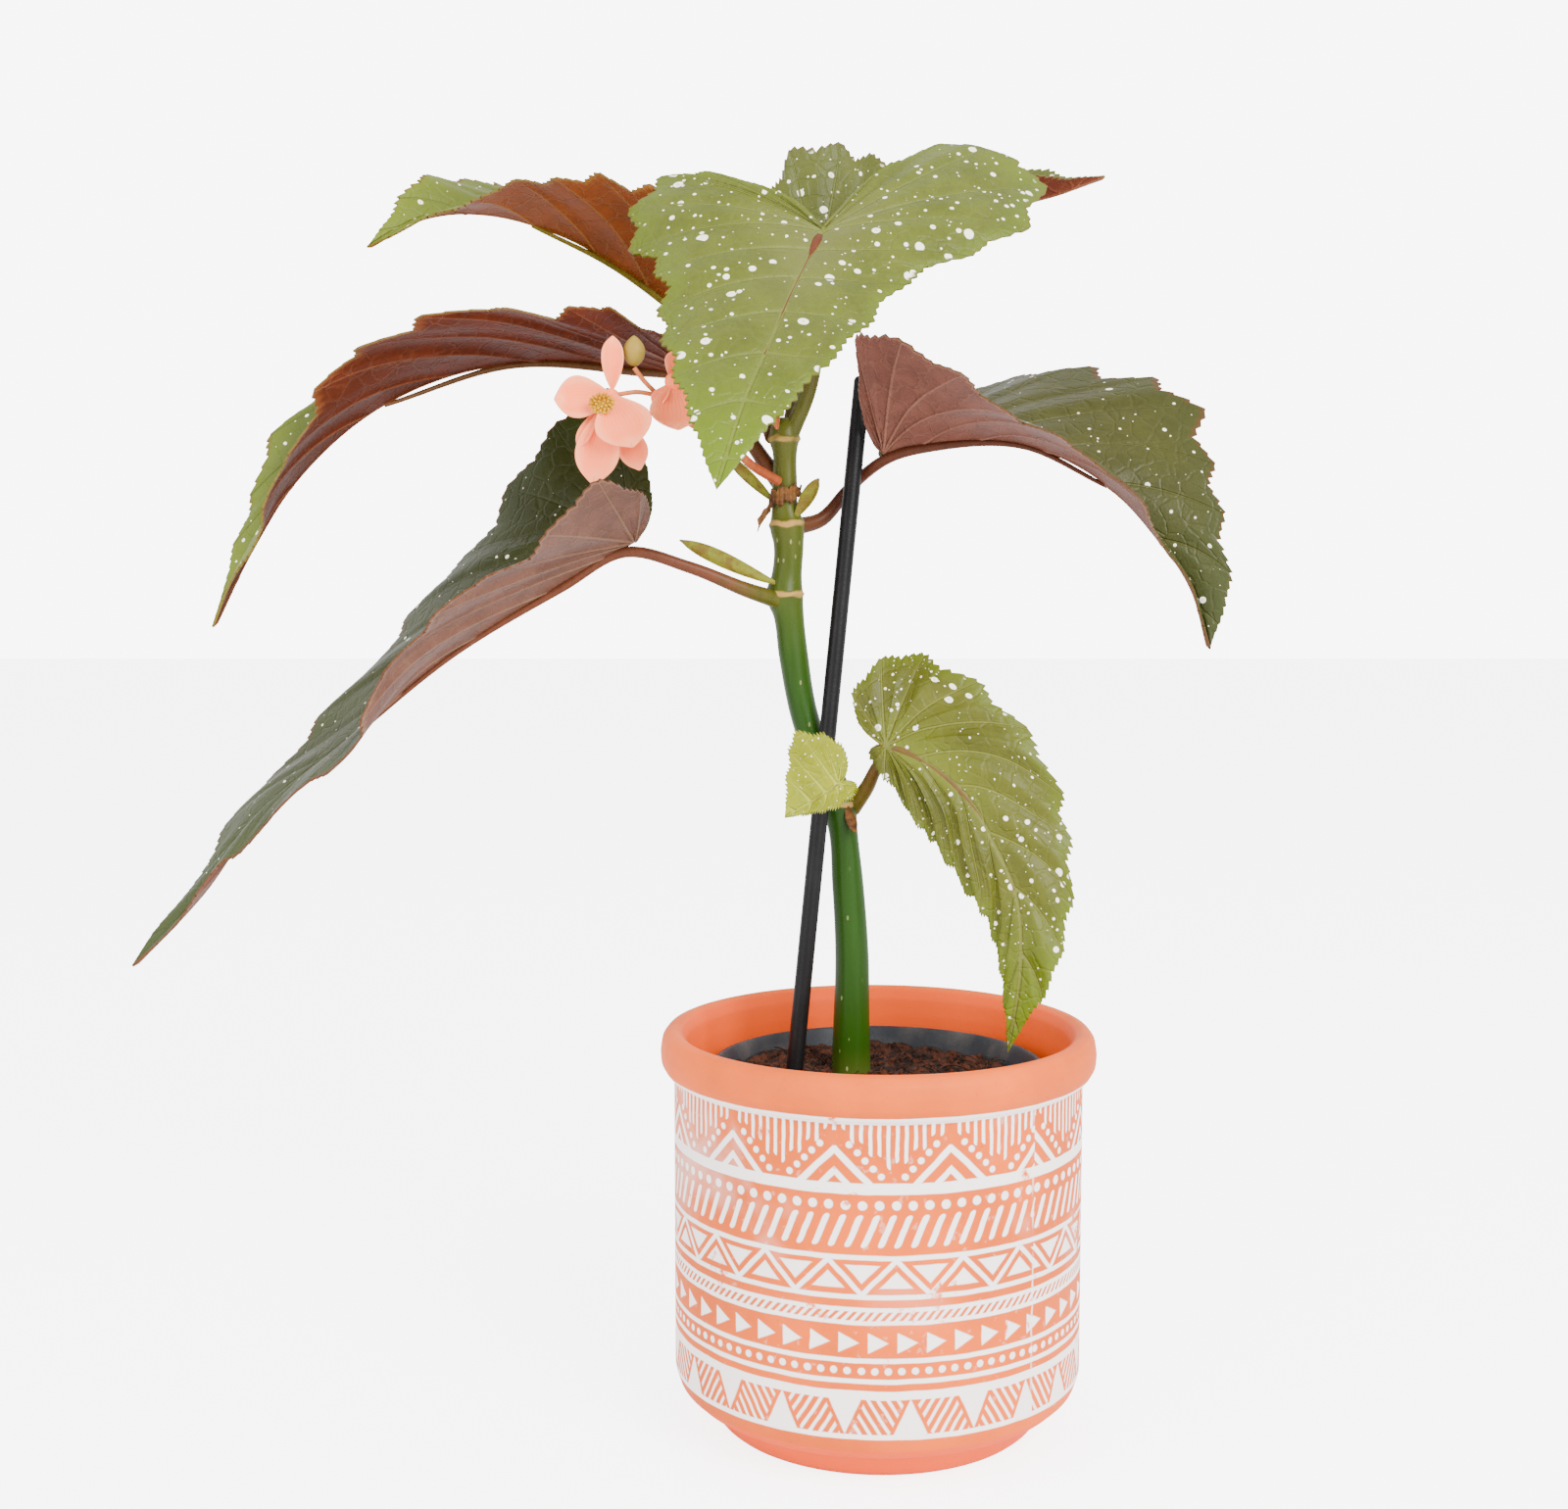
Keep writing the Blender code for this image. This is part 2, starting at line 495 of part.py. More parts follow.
def blade_surface(leaf, columns=(0.0, 0.4, 0.75, 1.0)):
    """Points and upward triangles of the folded blade's middle surface."""
    sheet, rows = Sheet(leaf), 2 * leaf["teeth"]
    points, faces, origin = [sheet.at(np.zeros(1), np.zeros(1))[0]], [], 0
    tip = 1
    points.append(sheet.at(np.ones(1), np.zeros(1))[0])
    middle = {}
    for side in (1, -1):
        u, t, start, x, y = blade_grid(leaf, side, rows, columns)
        lift = ripple(leaf, side, u, t, sheet.length)
        grid = sheet.at(x, np.where(y == 0, 1e-9, y) * side, lift)
        index = np.zeros(x.shape, int)
        for i in range(len(u)):
            for j in range(len(t)):
                if j == 0 and start[i] == 0:
                    index[i, j] = origin
                elif j == 0 and side < 0:
                    index[i, j] = middle[i]
                else:
                    index[i, j] = len(points)
                    points.append(grid[i, j])
            middle.setdefault(i, index[i, 0])
        for i in range(len(u)):
            for j in range(len(t) - 1):
                a, b = index[i, j], index[i, j + 1]
                if i == len(u) - 1:
                    corners = [(a, tip, b)]
                else:
                    c, d = index[i + 1, j + 1], index[i + 1, j]
                    corners = [(a, c, b), (a, d, c)] if (i + j) % 2 else [(a, d, b), (d, c, b)]
                for face in corners:
                    if len(set(face)) == 3:
                        faces.append(face if side > 0 else face[::-1])
    return sheet, np.array(points), np.array(faces)


def thicken(name, points, faces, thick, slot):
    """Closed sheet of even thickness, split alike on both faces."""
    corner = points[faces]
    face_normal = np.cross(corner[:, 1] - corner[:, 0], corner[:, 2] - corner[:, 0])
    normal = np.zeros_like(points)
    for k in range(3):
        np.add.at(normal, faces[:, k], face_normal)
    normal /= np.maximum(np.linalg.norm(normal, axis=1, keepdims=True), 1e-9)
    count = len(points)
    solid = np.vstack([points + normal * thick / 2, points - normal * thick / 2])
    edges = {}
    for face in faces:
        for a, b in ((face[0], face[1]), (face[1], face[2]), (face[2], face[0])):
            edges[(a, b)] = True
    skin = [tuple(f) for f in faces] + [tuple(f[::-1] + count) for f in faces]
    for a, b in edges:
        if (b, a) not in edges:
            skin += [(b, a, a + count), (b, a + count, b + count)]
    mesh = bpy.data.meshes.new(name)
    mesh.from_pydata([tuple(p * MM) for p in solid], [], [tuple(int(i) for i in f) for f in skin])
    mesh.materials.append(material(slot))
    obj = bpy.data.objects.new(name, mesh)
    bpy.context.scene.collection.objects.link(obj)
    return obj


def make_leaf(name, leaf):
    sheet, points, faces = blade_surface(leaf)
    blade = thicken(name, points, faces, BLADE_THICK, "leaf_blade")
    small = sheet.length < 60
    stations = np.array([0.02, 0.13])
    rib = sheet.at(stations, np.full(2, 1e-9), np.full(2, -0.4))
    thin = np.interp(stations, [0, 1], [1.9, 0.5]) * (0.6 if small else 1)
    stalk = np.array(leaf["stalk"], float)
    wide = np.linspace(3.2, 2.1, len(stalk)) * (0.5 if small else 1)
    path = np.vstack([np.column_stack([stalk, wide]), np.column_stack([rib, thin])])
    rod = tube(name + "_stalk", along(path, 8 if small else 12), 6, "leaf_blade")
    boolean(blade, [rod])
    return boolean(blade, [cane_body(name + "_seat", CLEAR + 0.15)], "DIFFERENCE")


def petal_surface(foot, tip, wide, look, cup, notch, rows=6, columns=5):
    """Points and triangles of a cupped petal, rounded at the tip, with an optional notch there."""
    foot, tip, look = (np.array(v, float) for v in (foot, tip, look))
    way = tip - foot
    length = np.linalg.norm(way)
    way /= length
    look = look - way * look.dot(way)
    look /= np.linalg.norm(look)
    side = np.cross(way, look)
    bend = math.radians(cup)
    points, faces = [], []
    for i in range(rows):
        s = 0.04 + 0.96 * i / (rows - 1)
        half = wide * math.sin(math.pi * min(1, s ** 0.75) * 0.93) ** 0.6
        for j in range(columns):
            c = 2 * j / (columns - 1) - 1
            turn = bend * c * half / wide
            reach = length * s * (1 - notch * math.exp(-(c / 0.3) ** 2) * s ** 6)
            rise = half * (1 - math.cos(turn)) / max(abs(bend), 0.1) + 0.12 * length * (s - 0.5) ** 2
            aside = half * math.sin(turn) / math.sin(bend)
            points.append(foot + way * reach + side * aside + look * rise)
    for i in range(rows - 1):
        for j in range(columns - 1):
            a = i * columns + j
            faces += [(a, a + 1, a + columns + 1), (a, a + columns + 1, a + columns)]
    return np.array(points), np.array(faces)


def ball(name, centre, radii, slot, rings=5, sides=8):
    profile = [(math.sin(math.pi * k / rings), -math.cos(math.pi * k / rings)) for k in range(rings + 1)]
    points, rows, faces = [], [], []
    for k, (r, z) in enumerate(profile):
        if k in (0, rings):
            rows.append([len(points)] * sides)
            points.append((centre[0], centre[1], centre[2] + radii[2] * z))
            continue
        rows.append([len(points) + j for j in range(sides)])
        for j in range(sides):
            a = 2 * math.pi * j / sides
            points.append((centre[0] + radii[0] * r * math.cos(a), centre[1] + radii[1] * r * math.sin(a),
                           centre[2] + radii[2] * z))
    for low, high in zip(rows, rows[1:]):
        for j in range(sides):
            n = (j + 1) % sides
            corners = [low[j], low[n], high[n], high[j]]
            faces.append([c for i, c in enumerate(corners) if c not in corners[:i]])
    return add_object(name, points, faces, slot)


def make_bloom(name, petals, heart):
    """Petals fused at a small receptacle."""
    body = ball(name, heart, (3.0, 2.6, 3.0), "petal", rings=4, sides=7)
    parts = []
    for k, petal in enumerate(petals):
        points, faces = petal_surface(*petal)
        parts.append(thicken(f"{name}_{k}", points, faces, PETAL_THICK, "petal"))
    return boolean(body, parts, solver="MANIFOLD")


def make_stamens(centre):
    """Tight cushion of stamens: a core with knobs set on it by a spiral rule."""
    core = ball("bloom_stamens", centre, (3.6, 2.0, 2.6), "stamen")
    knobs = []
    for k in range(16):
        turn, rise = k * 2.39996, 1 - (k + 0.5) / 16
        reach = math.sqrt(1 - rise * rise)
        place = (centre[0] + 3.7 * reach * math.cos(turn), centre[1] - 2.2 * rise,
                 centre[2] + 2.7 * reach * math.sin(turn))
        knobs.append(ball(f"knob_{k}", place, (0.8, 0.8, 0.8), "stamen", rings=3, sides=5))
    return boolean(core, knobs)


def grown(obj, gap):
    """Copy of obj swollen by gap mm along its normals."""
    copy = obj.copy()
    copy.data = obj.data.copy()
    bpy.context.scene.collection.objects.link(copy)
    for vertex, normal in zip(copy.data.vertices, [v.normal.copy() for v in obj.data.vertices]):
        vertex.co += normal * gap * MM
    return copy


def make_stipules():
    for name, (slot, *shape) in STIPULES.items():
        points, faces = petal_surface(*shape, rows=6, columns=5)
        blade = thicken(name, points, faces, PETAL_THICK, slot)
        boolean(blade, [cane_body(name + "_seat", CLEAR + 0.15)], "DIFFERENCE")


def make_wrapped_stipule():
    """Dry curled scale that clasps the front of the cane, drawn out to a hooked tip on the left."""
    columns, points, faces = 13, [], []
    for j in range(columns):
        c = j / (columns - 1)
        angle = math.radians(195 + 150 * min(1, max(0, (c - 0.15) / 0.85)))
        reach = 5.15 + 9 * max(0, 0.2 - c) ** 1.2 + 3.5 * max(0, c - 0.85)
        tall = 2.9 * math.sin(math.pi * (0.08 + 0.84 * c)) ** 0.5
        droop = -38 * max(0, 0.22 - c) + 4 * (c - 0.5)
        for row in (-1, 0, 1):
            ragged = 0.7 * math.sin(j * 2.1 + row) * abs(row)
            out = reach + 0.5 * abs(row)
            points.append((-33 + out * math.cos(angle) - 20 * max(0, 0.15 - c), 14 + out * math.sin(angle),
                           328 + droop + row * tall + ragged))
    for j in range(columns - 1):
        for row in range(2):
            a, b = j * 3 + row, (j + 1) * 3 + row
            faces += [(a, b, b + 1), (a, b + 1, a + 1)]
    blade = thicken("stipule_wrapped", np.array(points), np.array(faces), PETAL_THICK, "stipule_dry")
    boolean(blade, [cane_body("wrapped_seat", CLEAR + 0.1)], "DIFFERENCE")


def make_flowers():
    slot = "flower_stalk_skin"
    stalk = tube("flower_stalk", np.column_stack([along(STALK, 16), np.linspace(1.7, 1.1, 16)]), 7, slot)
    limbs = [tube(f"pedicel_{k}", np.column_stack([along(line, 6), np.full(6, 0.8)]), 6, slot)
             for k, line in enumerate(BRANCHES)]
    boolean(stalk, limbs)
    front = make_bloom("front_bloom", FRONT_PETALS, (-90.5, -31, 359))
    side = make_bloom("side_bloom", SIDE_PETALS, (-70, -27.5, 364.5))
    bud = ball("flower_bud", (-83, -28, 374.5), (3.7, 3.2, 5.0), "bud_skin", rings=7, sides=10)
    stamens = make_stamens((-93, -37.1, 356.5))
    boolean(stamens, [grown(front, CLEAR + 0.1)], "DIFFERENCE", "MANIFOLD")
    seats = [cane_body("flower_seat", CLEAR + 0.15)]
    seats += [grown(piece, CLEAR + 0.1) for piece in (front, side, bud)]
    boolean(stalk, seats, "DIFFERENCE", "MANIFOLD")


def main():
    clear_scene()
    make_pot()
    make_nursery_pot()
    make_soil()
    stake_body("support_stake", 0)
    cane_body("cane", 0)
    for name, leaf in LEAVES.items():
        make_leaf(name, leaf)
    make_stipules()
    make_wrapped_stipule()
    make_flowers()


if __name__ == "__main__":
    main()
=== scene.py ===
"""Potted cane begonia, dressed for rendering: leaves, cane, flowers, soil and a patterned clay pot.

Sizes in the tables are millimetres. The plant's front looks along -Y and +Z is up.
"""
import math

import bpy
import numpy as np
from bpy.props import FloatProperty, FloatVectorProperty, IntProperty, PointerProperty
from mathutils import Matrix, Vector, noise


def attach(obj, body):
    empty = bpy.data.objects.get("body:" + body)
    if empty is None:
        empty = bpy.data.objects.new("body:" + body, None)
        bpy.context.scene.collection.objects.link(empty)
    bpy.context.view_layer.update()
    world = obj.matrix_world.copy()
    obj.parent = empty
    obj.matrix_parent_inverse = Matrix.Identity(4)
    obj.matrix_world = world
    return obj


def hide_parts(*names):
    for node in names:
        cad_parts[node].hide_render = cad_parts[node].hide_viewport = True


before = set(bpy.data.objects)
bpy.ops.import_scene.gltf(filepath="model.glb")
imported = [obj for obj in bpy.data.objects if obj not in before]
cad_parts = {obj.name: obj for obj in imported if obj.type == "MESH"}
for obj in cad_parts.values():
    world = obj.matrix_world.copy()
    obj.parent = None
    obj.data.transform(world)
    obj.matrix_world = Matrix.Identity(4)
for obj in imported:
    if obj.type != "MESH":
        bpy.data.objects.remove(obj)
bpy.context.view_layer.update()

bl_info = {
    "name": "Potted cane begonia",
    "version": (1, 0, 0),
    "blender": (4, 5, 0),
    "location": "View3D > Sidebar > Begonia",
    "description": "Builds the finished surfaces of a potted cane begonia on its fixed frame",
    "category": "Add Mesh",
}

MM = 0.001

# Cover pot and nursery pot, radius and height
POT_PROFILE = [(0, 0), (54.5, 0), (57, 2), (62.5, 9.5), (66.5, 11.2), (70.5, 15), (72.2, 20),
               (72.2, 124.8), (74.8, 126.2), (76.7, 129.5), (77, 133.5), (76.3, 138), (74.4, 140.5),
               (72, 141.2), (69.6, 140), (67.8, 136.5), (67, 130), (66.4, 24), (62, 15.5), (57, 12.5),
               (0, 12.5)]
NURSERY_PROFILE = [(0, 12.8), (43, 12.8), (45.5, 14.5), (55.6, 120), (58.4, 120.6), (59, 122), (59, 127),
                   (58.5, 128), (57.4, 128), (56.6, 126), (54.4, 119), (44.2, 16), (42, 14.3), (0, 14.3)]
SEAM = 43.5            # degrees right of the front, where the pattern's ends meet
WALL_RADIUS = 72.2     # radius of the painted wall
INSIDE = 0.0702        # radius in metres under which the clay is the pot's inside

# Rows of the painted pattern. Lines: height, half width. Dots: height, radius, pitch and start in degrees
LINES = ((126.2, 1.6), (103.5, 1.9), (80.7, 0.85), (67.7, 0.85), (63.5, 0.75), (59.1, 0.75), (46.5, 0.85),
         (39.5, 0.85), (34.8, 1.5), (20.7, 0.9))
DOT_ROWS = ((98.0, 1.55, 4.35, -2.0), (43.0, 1.25, 3.55, 0.5))
# Rows of shapes: height, pitch and start in degrees
PEAKS, STROKES, DASHES = (116.6, 30.3, -13.7), (125.6, 2.33, -13.7), (89.5, 4.3, 0.0)
ZIGZAG, ROPE, ARROWS, TEETH = (68.4, 17.8, 2.5), (61.3, 360, 0.0), (52.4, 7.65, -2.2), (27.4, 34.5, -10.8)
SLANT = 0.7071         # share of a level distance that counts across a slope of 45 degrees

# Soil
SOIL_TOP = 122.0
SOIL_RADIUS, LITTER_RADIUS = 54.0, 52.5
CRUMBS, FIBRES = 120000.0, 14000.0     # to a square metre
SOIL_SIDE = [(0, 14.6), (41.5, 14.6), (43.7, 16.2), (54.0, 119)]

# Stake
STAKE_FOOT = (-38, -9.5, 40)
STAKE_HEAD = (-5.5, 16, 370)
STAKE_RADIUS = 3.0

# Cane: centre line and radius, and the heights of its leaf scars
CANE = [(-9, 10, 101, 6.4), (-9, 10, 122, 7.0), (-9, 10, 140, 6.5), (-9, 11, 164, 6.0),
        (-10.5, 12, 190, 5.6), (-12.5, 13, 212, 5.4), (-13.5, 13.5, 218, 6.2), (-16, 14, 226, 5.3),
        (-25, 14, 247, 4.9), (-30, 14, 272, 5.2), (-31.8, 14, 287, 5.5), (-33, 14, 293.5, 6.6),
        (-32.4, 14, 299, 5.5), (-31.6, 14, 311, 5.3), (-32.2, 14, 318, 6.0), (-32.8, 14, 323, 4.8),
        (-33, 14, 333, 4.4), (-33, 14, 344, 4.4), (-33.2, 14, 348.5, 5.4), (-33, 14, 353, 4.4),
        (-33, 14, 355.5, 2.6)]
SCAR_HEIGHTS = [219, 293.5, 318.5, 348]

# Leaves, all in mm or degrees: stalk and midrib as lines in space, the way the upper face looks at the
# base, each half's outline (back lobe, width, lean, fullness towards the tip) as shares of the length, and
# the angles by which each half folds up and curls
LEAVES = {
    "leaf_top_left": dict(
        stalk=[(-37, 16, 349), (-41, 30, 360), (-46, 50, 374)],
        midrib=[(-55, 69, 387), (-84, 62, 407), (-112, 50, 423), (-139, 34, 429), (-160, 17, 425),
                (-177, 3, 413)],
        up=(0, 0, 1), left=(0.05, 0.30, -0.22, 1), right=(0.05, 0.26, -0.15, 1),
        fold_left=[45, 44, 32, 21, 17, 10, 5], fold_right=[30, 30, 30, 30, 38, 55, 60],
        curl_left=[20], curl_right=[-10], teeth=12, seed=1),
    "leaf_middle_left": dict(
        stalk=[(-35, 16, 333), (-44, 22, 346), (-53, 28, 361)],
        midrib=[(-61, 30, 371), (-89, 22, 374), (-120, 12, 375), (-149, 0, 369), (-174, -9, 356),
                (-199, -16, 332), (-214, -20, 308), (-226, -24, 283)],
        up=(0, 0, 1), left=(0.05, 0.24, -0.25, 1), right=(0.05, 0.20, -0.1, 1),
        fold_left=[14, 11, 9, 11, 17, 24, 22, 8, 0], fold_right=[15, 15, 15, 20, 25, 30, 35, 40, 40],
        curl_left=[10], curl_right=[2], teeth=13, seed=2),
    "leaf_low_left": dict(
        stalk=[(-34, 12, 291), (-46, 4, 295), (-66, -2, 303)],
        midrib=[(-85, -6, 312), (-116, -8, 294), (-153, -12, 270), (-183, -18, 244), (-211, -26, 220),
                (-229, -34, 194), (-250, -44, 171)],
        up=(0, 0, 1), left=(0.05, 0.20, 0, 1), right=(0.04, 0.24, 0.08, 1),
        fold_left=[22, 22, 17, 10, -5, -10, -10, -10], fold_right=[66, 64, 48, 28, 20, 22, 28, 28],
        curl_left=[10], curl_right=[-10], teeth=13, seed=3),
    "leaf_top_front": dict(
        stalk=[(-31, 13, 350), (-25, 13, 364), (-21, 13, 388), (-20, 8, 410)],
        midrib=[(-20, 0, 418), (-25, -12, 407), (-31, -28, 393), (-38, -46, 375), (-46, -64, 355),
                (-54, -84, 327)],
        up=(0.12, -0.7, 0.7), left=(0.30, 0.50, 0.46, 0.54), right=(0.05, 0.52, 0.09, 0.8),
        fold_left=[19, 16, 8, 5, 5, 5, 5], fold_right=[12, 10, 5, 0, 0, 0, 0],
        curl_left=[-20], curl_right=[-20], teeth=12, seed=4),
    "leaf_top_back": dict(
        stalk=[(-31, 18, 349), (-29, 33, 368), (-26, 50, 391)],
        midrib=[(-21, 60, 410), (3, 57, 414), (26, 53, 422), (50, 49, 434), (67, 43, 438),
                (82, 37, 443)],
        up=(0, 0, 1), left=(0.14, 0.44, 0, 1), right=(0.04, 0.26, -0.1, 1),
        fold_left=[78, 75, 70, 65, 55, 45, 30], fold_right=[25, 25, 25, 30, 50, 60, 60],
        curl_left=[10, 0, 0], curl_right=[0, 0, 0, -20, -60, -60], teeth=11, seed=5),
    "leaf_right": dict(
        stalk=[(-31, 16, 317), (-20, 21.5, 320), (-10, 21, 331)],
        midrib=[(1.5, 11.5, 343), (23, 10, 347), (50, 5, 346), (75, -2, 334), (94, -6, 315),
                (107, -9, 296), (113, -12, 275)],
        up=(0, 0, 1), left=(0.04, 0.39, -0.18, 1), right=(0.03, 0.30, 0, 1),
        fold_left=[32, 30, 22, 30, 52, 78, 88, 88], fold_right=[60, 60, 30, 12, 8, 5, 5, 5],
        curl_left=[2], curl_right=[2], teeth=12, seed=6),
    "leaf_young": dict(
        stalk=[(-9, 14, 217), (-4, 8, 225), (0, 1, 234)],
        midrib=[(2, -4, 241), (13, -8, 237), (30, -13, 224), (39, -17, 208), (46, -20, 192),
                (48, -22, 170), (44, -20, 136)],
        up=(0, -1, 0.2), left=(0.12, 0.26, 0.05, 1), right=(0.09, 0.15, -0.2, 1),
        fold_left=[5], fold_right=[-10], curl_left=[-20], curl_right=[-20], teeth=12, seed=7),
    "leaf_bud": dict(
        stalk=[(-13.5, 12, 221), (-12.5, 3, 222), (-12.8, -8, 226)],
        midrib=[(-14.5, -16, 229), (-19, -18, 226), (-26, -20, 222), (-33, -22, 218)],
        up=(0, -1, 0.2), left=(0.2, 0.32, 0, 1), right=(0.4, 1.05, -0.15, 1),
        fold_left=[20], fold_right=[20], curl_left=[2], curl_right=[2], teeth=7, seed=8),
}
FAN = 0.46             # share of the outline whose veins start at the petiole
SPREAD = 0.3           # width that the curl angles are given for, as a share of the leaf
VEIN_ROWS = 18         # rows of the mesh from one side vein to the next
SMALL_TEETH = 6        # small teeth on each large one
COLUMNS = 19           # columns of the mesh from the midrib to the edge

# Colours of each leaf: upper face, its tip, its heart, underside, underside's tip, underside's veins,
# stalk foot, stalk end
LEAF_COLOURS = {
    "leaf_top_left": [(72, 78, 26), (92, 104, 18), (84, 88, 40), (129, 62, 20), (124, 60, 22), (150, 104, 40),
                      (70, 42, 18), (104, 88, 20)],
    "leaf_middle_left": [(60, 66, 24), (96, 110, 20), (60, 64, 30), (84, 30, 10), (64, 28, 10), (120, 66, 30),
                         (76, 42, 20), (84, 52, 24)],
    "leaf_low_left": [(46, 50, 18), (52, 62, 26), (50, 55, 28), (101, 67, 54), (88, 50, 38), (130, 100, 76),
                      (66, 66, 14), (88, 46, 26)],
    "leaf_top_front": [(79, 86, 25), (83, 102, 8), (86, 88, 42), (96, 46, 30), (92, 52, 24),
                       (124, 84, 44), (66, 66, 20), (80, 38, 18)],
    "leaf_top_back": [(75, 80, 30), (68, 74, 22), (80, 84, 40), (100, 40, 22), (80, 34, 18), (124, 74, 40),
                      (68, 56, 18), (80, 46, 22)],
    "leaf_right": [(58, 58, 20), (48, 54, 24), (62, 64, 34), (104, 62, 50), (80, 42, 20), (136, 92, 74),
                   (76, 42, 18), (70, 32, 14)],
    "leaf_young": [(76, 78, 20), (90, 108, 16), (90, 98, 20), (100, 70, 30), (100, 76, 30), (110, 100, 30),
                   (80, 70, 18), (86, 64, 26)],
    "leaf_bud": [(116, 120, 8), (124, 132, 12), (124, 126, 16), (104, 80, 16), (104, 80, 16), (130, 112, 30),
                 (80, 50, 20), (92, 64, 26)],
}
# Spots of each leaf: how many to a decimetre, share that shows, size; then strength of veins and red margin
LEAF_SPOTS = {
    "leaf_top_left": (17, 0.8, 0.85, 0.4, 0.5), "leaf_middle_left": (17, 0.7, 0.8, 0.4, 0.5),
    "leaf_low_left": (14, 0.6, 0.7, 0.35, 0.6), "leaf_top_front": (15, 0.95, 1.15, 0.45, 0.2),
    "leaf_top_back": (16, 0.95, 1.1, 0.4, 0.3), "leaf_right": (17, 0.8, 0.8, 0.35, 0.4),
    "leaf_young": (23, 0.95, 1.05, 0.9, 0.12), "leaf_bud": (34, 0.85, 0.9, 0.9, 0.1),
}
# Three sizes of spot: scale of the cells, least and greatest radius in a cell, share of the cells
SPOT_SIZES = ((1.0, 0.10, 0.27, 1.0), (1.55, 0.08, 0.19, 0.85), (2.6, 0.08, 0.17, 0.5))

# Flower stalk and its short branches
STALK = [(-35, 9, 333), (-44, 3, 338), (-52, -4, 345), (-60, -11, 349), (-67, -19, 353), (-76, -26, 361)]
BRANCHES = [[(-75, -25, 360), (-80, -27, 365), (-83, -28, 369)],
            [(-75, -25, 360), (-82, -28, 361), (-88, -31, 360)],
            [(-73, -24, 358), (-71, -26, 361), (-70, -27, 363)]]

# Petals: foot, tip, half width, way the inner face looks, cup in degrees, width of the tip's notch
FRONT_PETALS = [((-90, -31, 361), (-90, -30, 379), 3.6, (0.1, -1, 0.1), 70, 0.0),
                ((-89, -32, 359), (-109, -33, 358), 7.6, (-0.1, -1, 0.3), 35, 0.1),
                ((-91, -33, 360), (-83, -39, 342), 9.8, (0.2, -1, 0.1), 40, 0.1),
                ((-92, -32, 357), (-96, -37, 330), 7.6, (-0.1, -1, 0.2), 30, 0.1),
                ((-88, -31, 352), (-81, -33, 335), 5.2, (0.3, -1, 0.1), 45, 0.0),
                ((-95, -31, 355), (-101, -35, 342), 2.8, (-0.5, -1, 0.1), 50, 0.0)]
SIDE_PETALS = [((-70, -27, 364), (-68, -33, 348), 9.2, (0.1, -1, 0.2), 45, 0.1),
               ((-70, -27, 364), (-67, -26, 375), 4.6, (0, -1, 0.2), 55, 0.0),
               ((-71, -27, 364), (-76, -29, 356), 3.4, (-0.8, -1, 0.1), 45, 0.0)]
FRONT_HEART, SIDE_HEART = (-90.5, -31, 359), (-70, -27.5, 364.5)
HEART_RADII = (3.0, 2.6, 3.0)
STAMEN_HEART, STAMEN_CORE, STAMEN_SEATS = (-93, -37.1, 356.5), (3.1, 1.4, 2.2), (2.6, 1.1, 1.8)
GOLDEN_TURN = 2.39996  # radians from one stamen to the next
BUD_HEART, BUD_RADII = (-83, -28, 374.5), (3.7, 3.2, 5.0)

# Stipules: material, then the same values as a petal
STIPULES = {
    "stipule_upright": ("stipule_green", (-30, 11, 319.5), (-21, 6, 334), 2.4, (0, -1, 0.1), 60, 0.0),
    "stipule_long": ("stipule_green", (-34, 11.5, 296), (-70, -3, 312), 3.0, (0, -1, 0.5), 60, 0.0),
    "stipule_crescent": ("stipule_green", (-35.5, 16, 325), (-54, 14, 343), 2.0, (-0.3, -1, 0), 60, 0.0),
    "stipule_top": ("flower_stalk_skin", (-35.5, 9.8, 350.5), (-38.5, 10, 365), 2.2, (0, -1, 0), 70, 0.0),
    "stipule_low": ("stipule_dry", (-11.5, 9, 219.5), (-8, 4, 209.5), 1.8, (0, -1, 0), 60, 0.0),
}
WRAP_CENTRE = (-33, 14, 328)     # of the scale that clasps the cane
# Main and edge colours of the stipules, and depth of their relief in metres
STIPULE_SKINS = {
    "stipule_green": ("Green stipule", (104, 106, 24), (92, 72, 22), 0.0002),
    "stipule_dry": ("Dry stipule", (96, 60, 22), (52, 28, 12), 0.0003),
    "flower_stalk_skin": ("Red stipule", (150, 82, 44), (112, 50, 28), 0.0002),
}

# Stage, metres: the camera, what the lights look at, then each light's place, size and share of the power
CAMERA_PLACE, CAMERA_TILT, LENS, FILM = (-0.0333, -0.73, 0.3042), 84.79, 48.0, 36.0
LIT_POINT = (-0.03, 0, 0.25)
LIGHTS = (("key", (0.9, -1.3, 1.15), 1.0, 1.0), ("fill", (-1.2, -1.0, 0.9), 1.4, 0.35))
FLOOR_REACH = 6000


def linear(colour):
    """Screen colour, 0 to 255, as the linear colour that shaders take."""
    parts = [c / 255 for c in colour]
    return tuple(c / 12.92 if c <= 0.04045 else ((c + 0.055) / 1.055) ** 2.4 for c in parts)


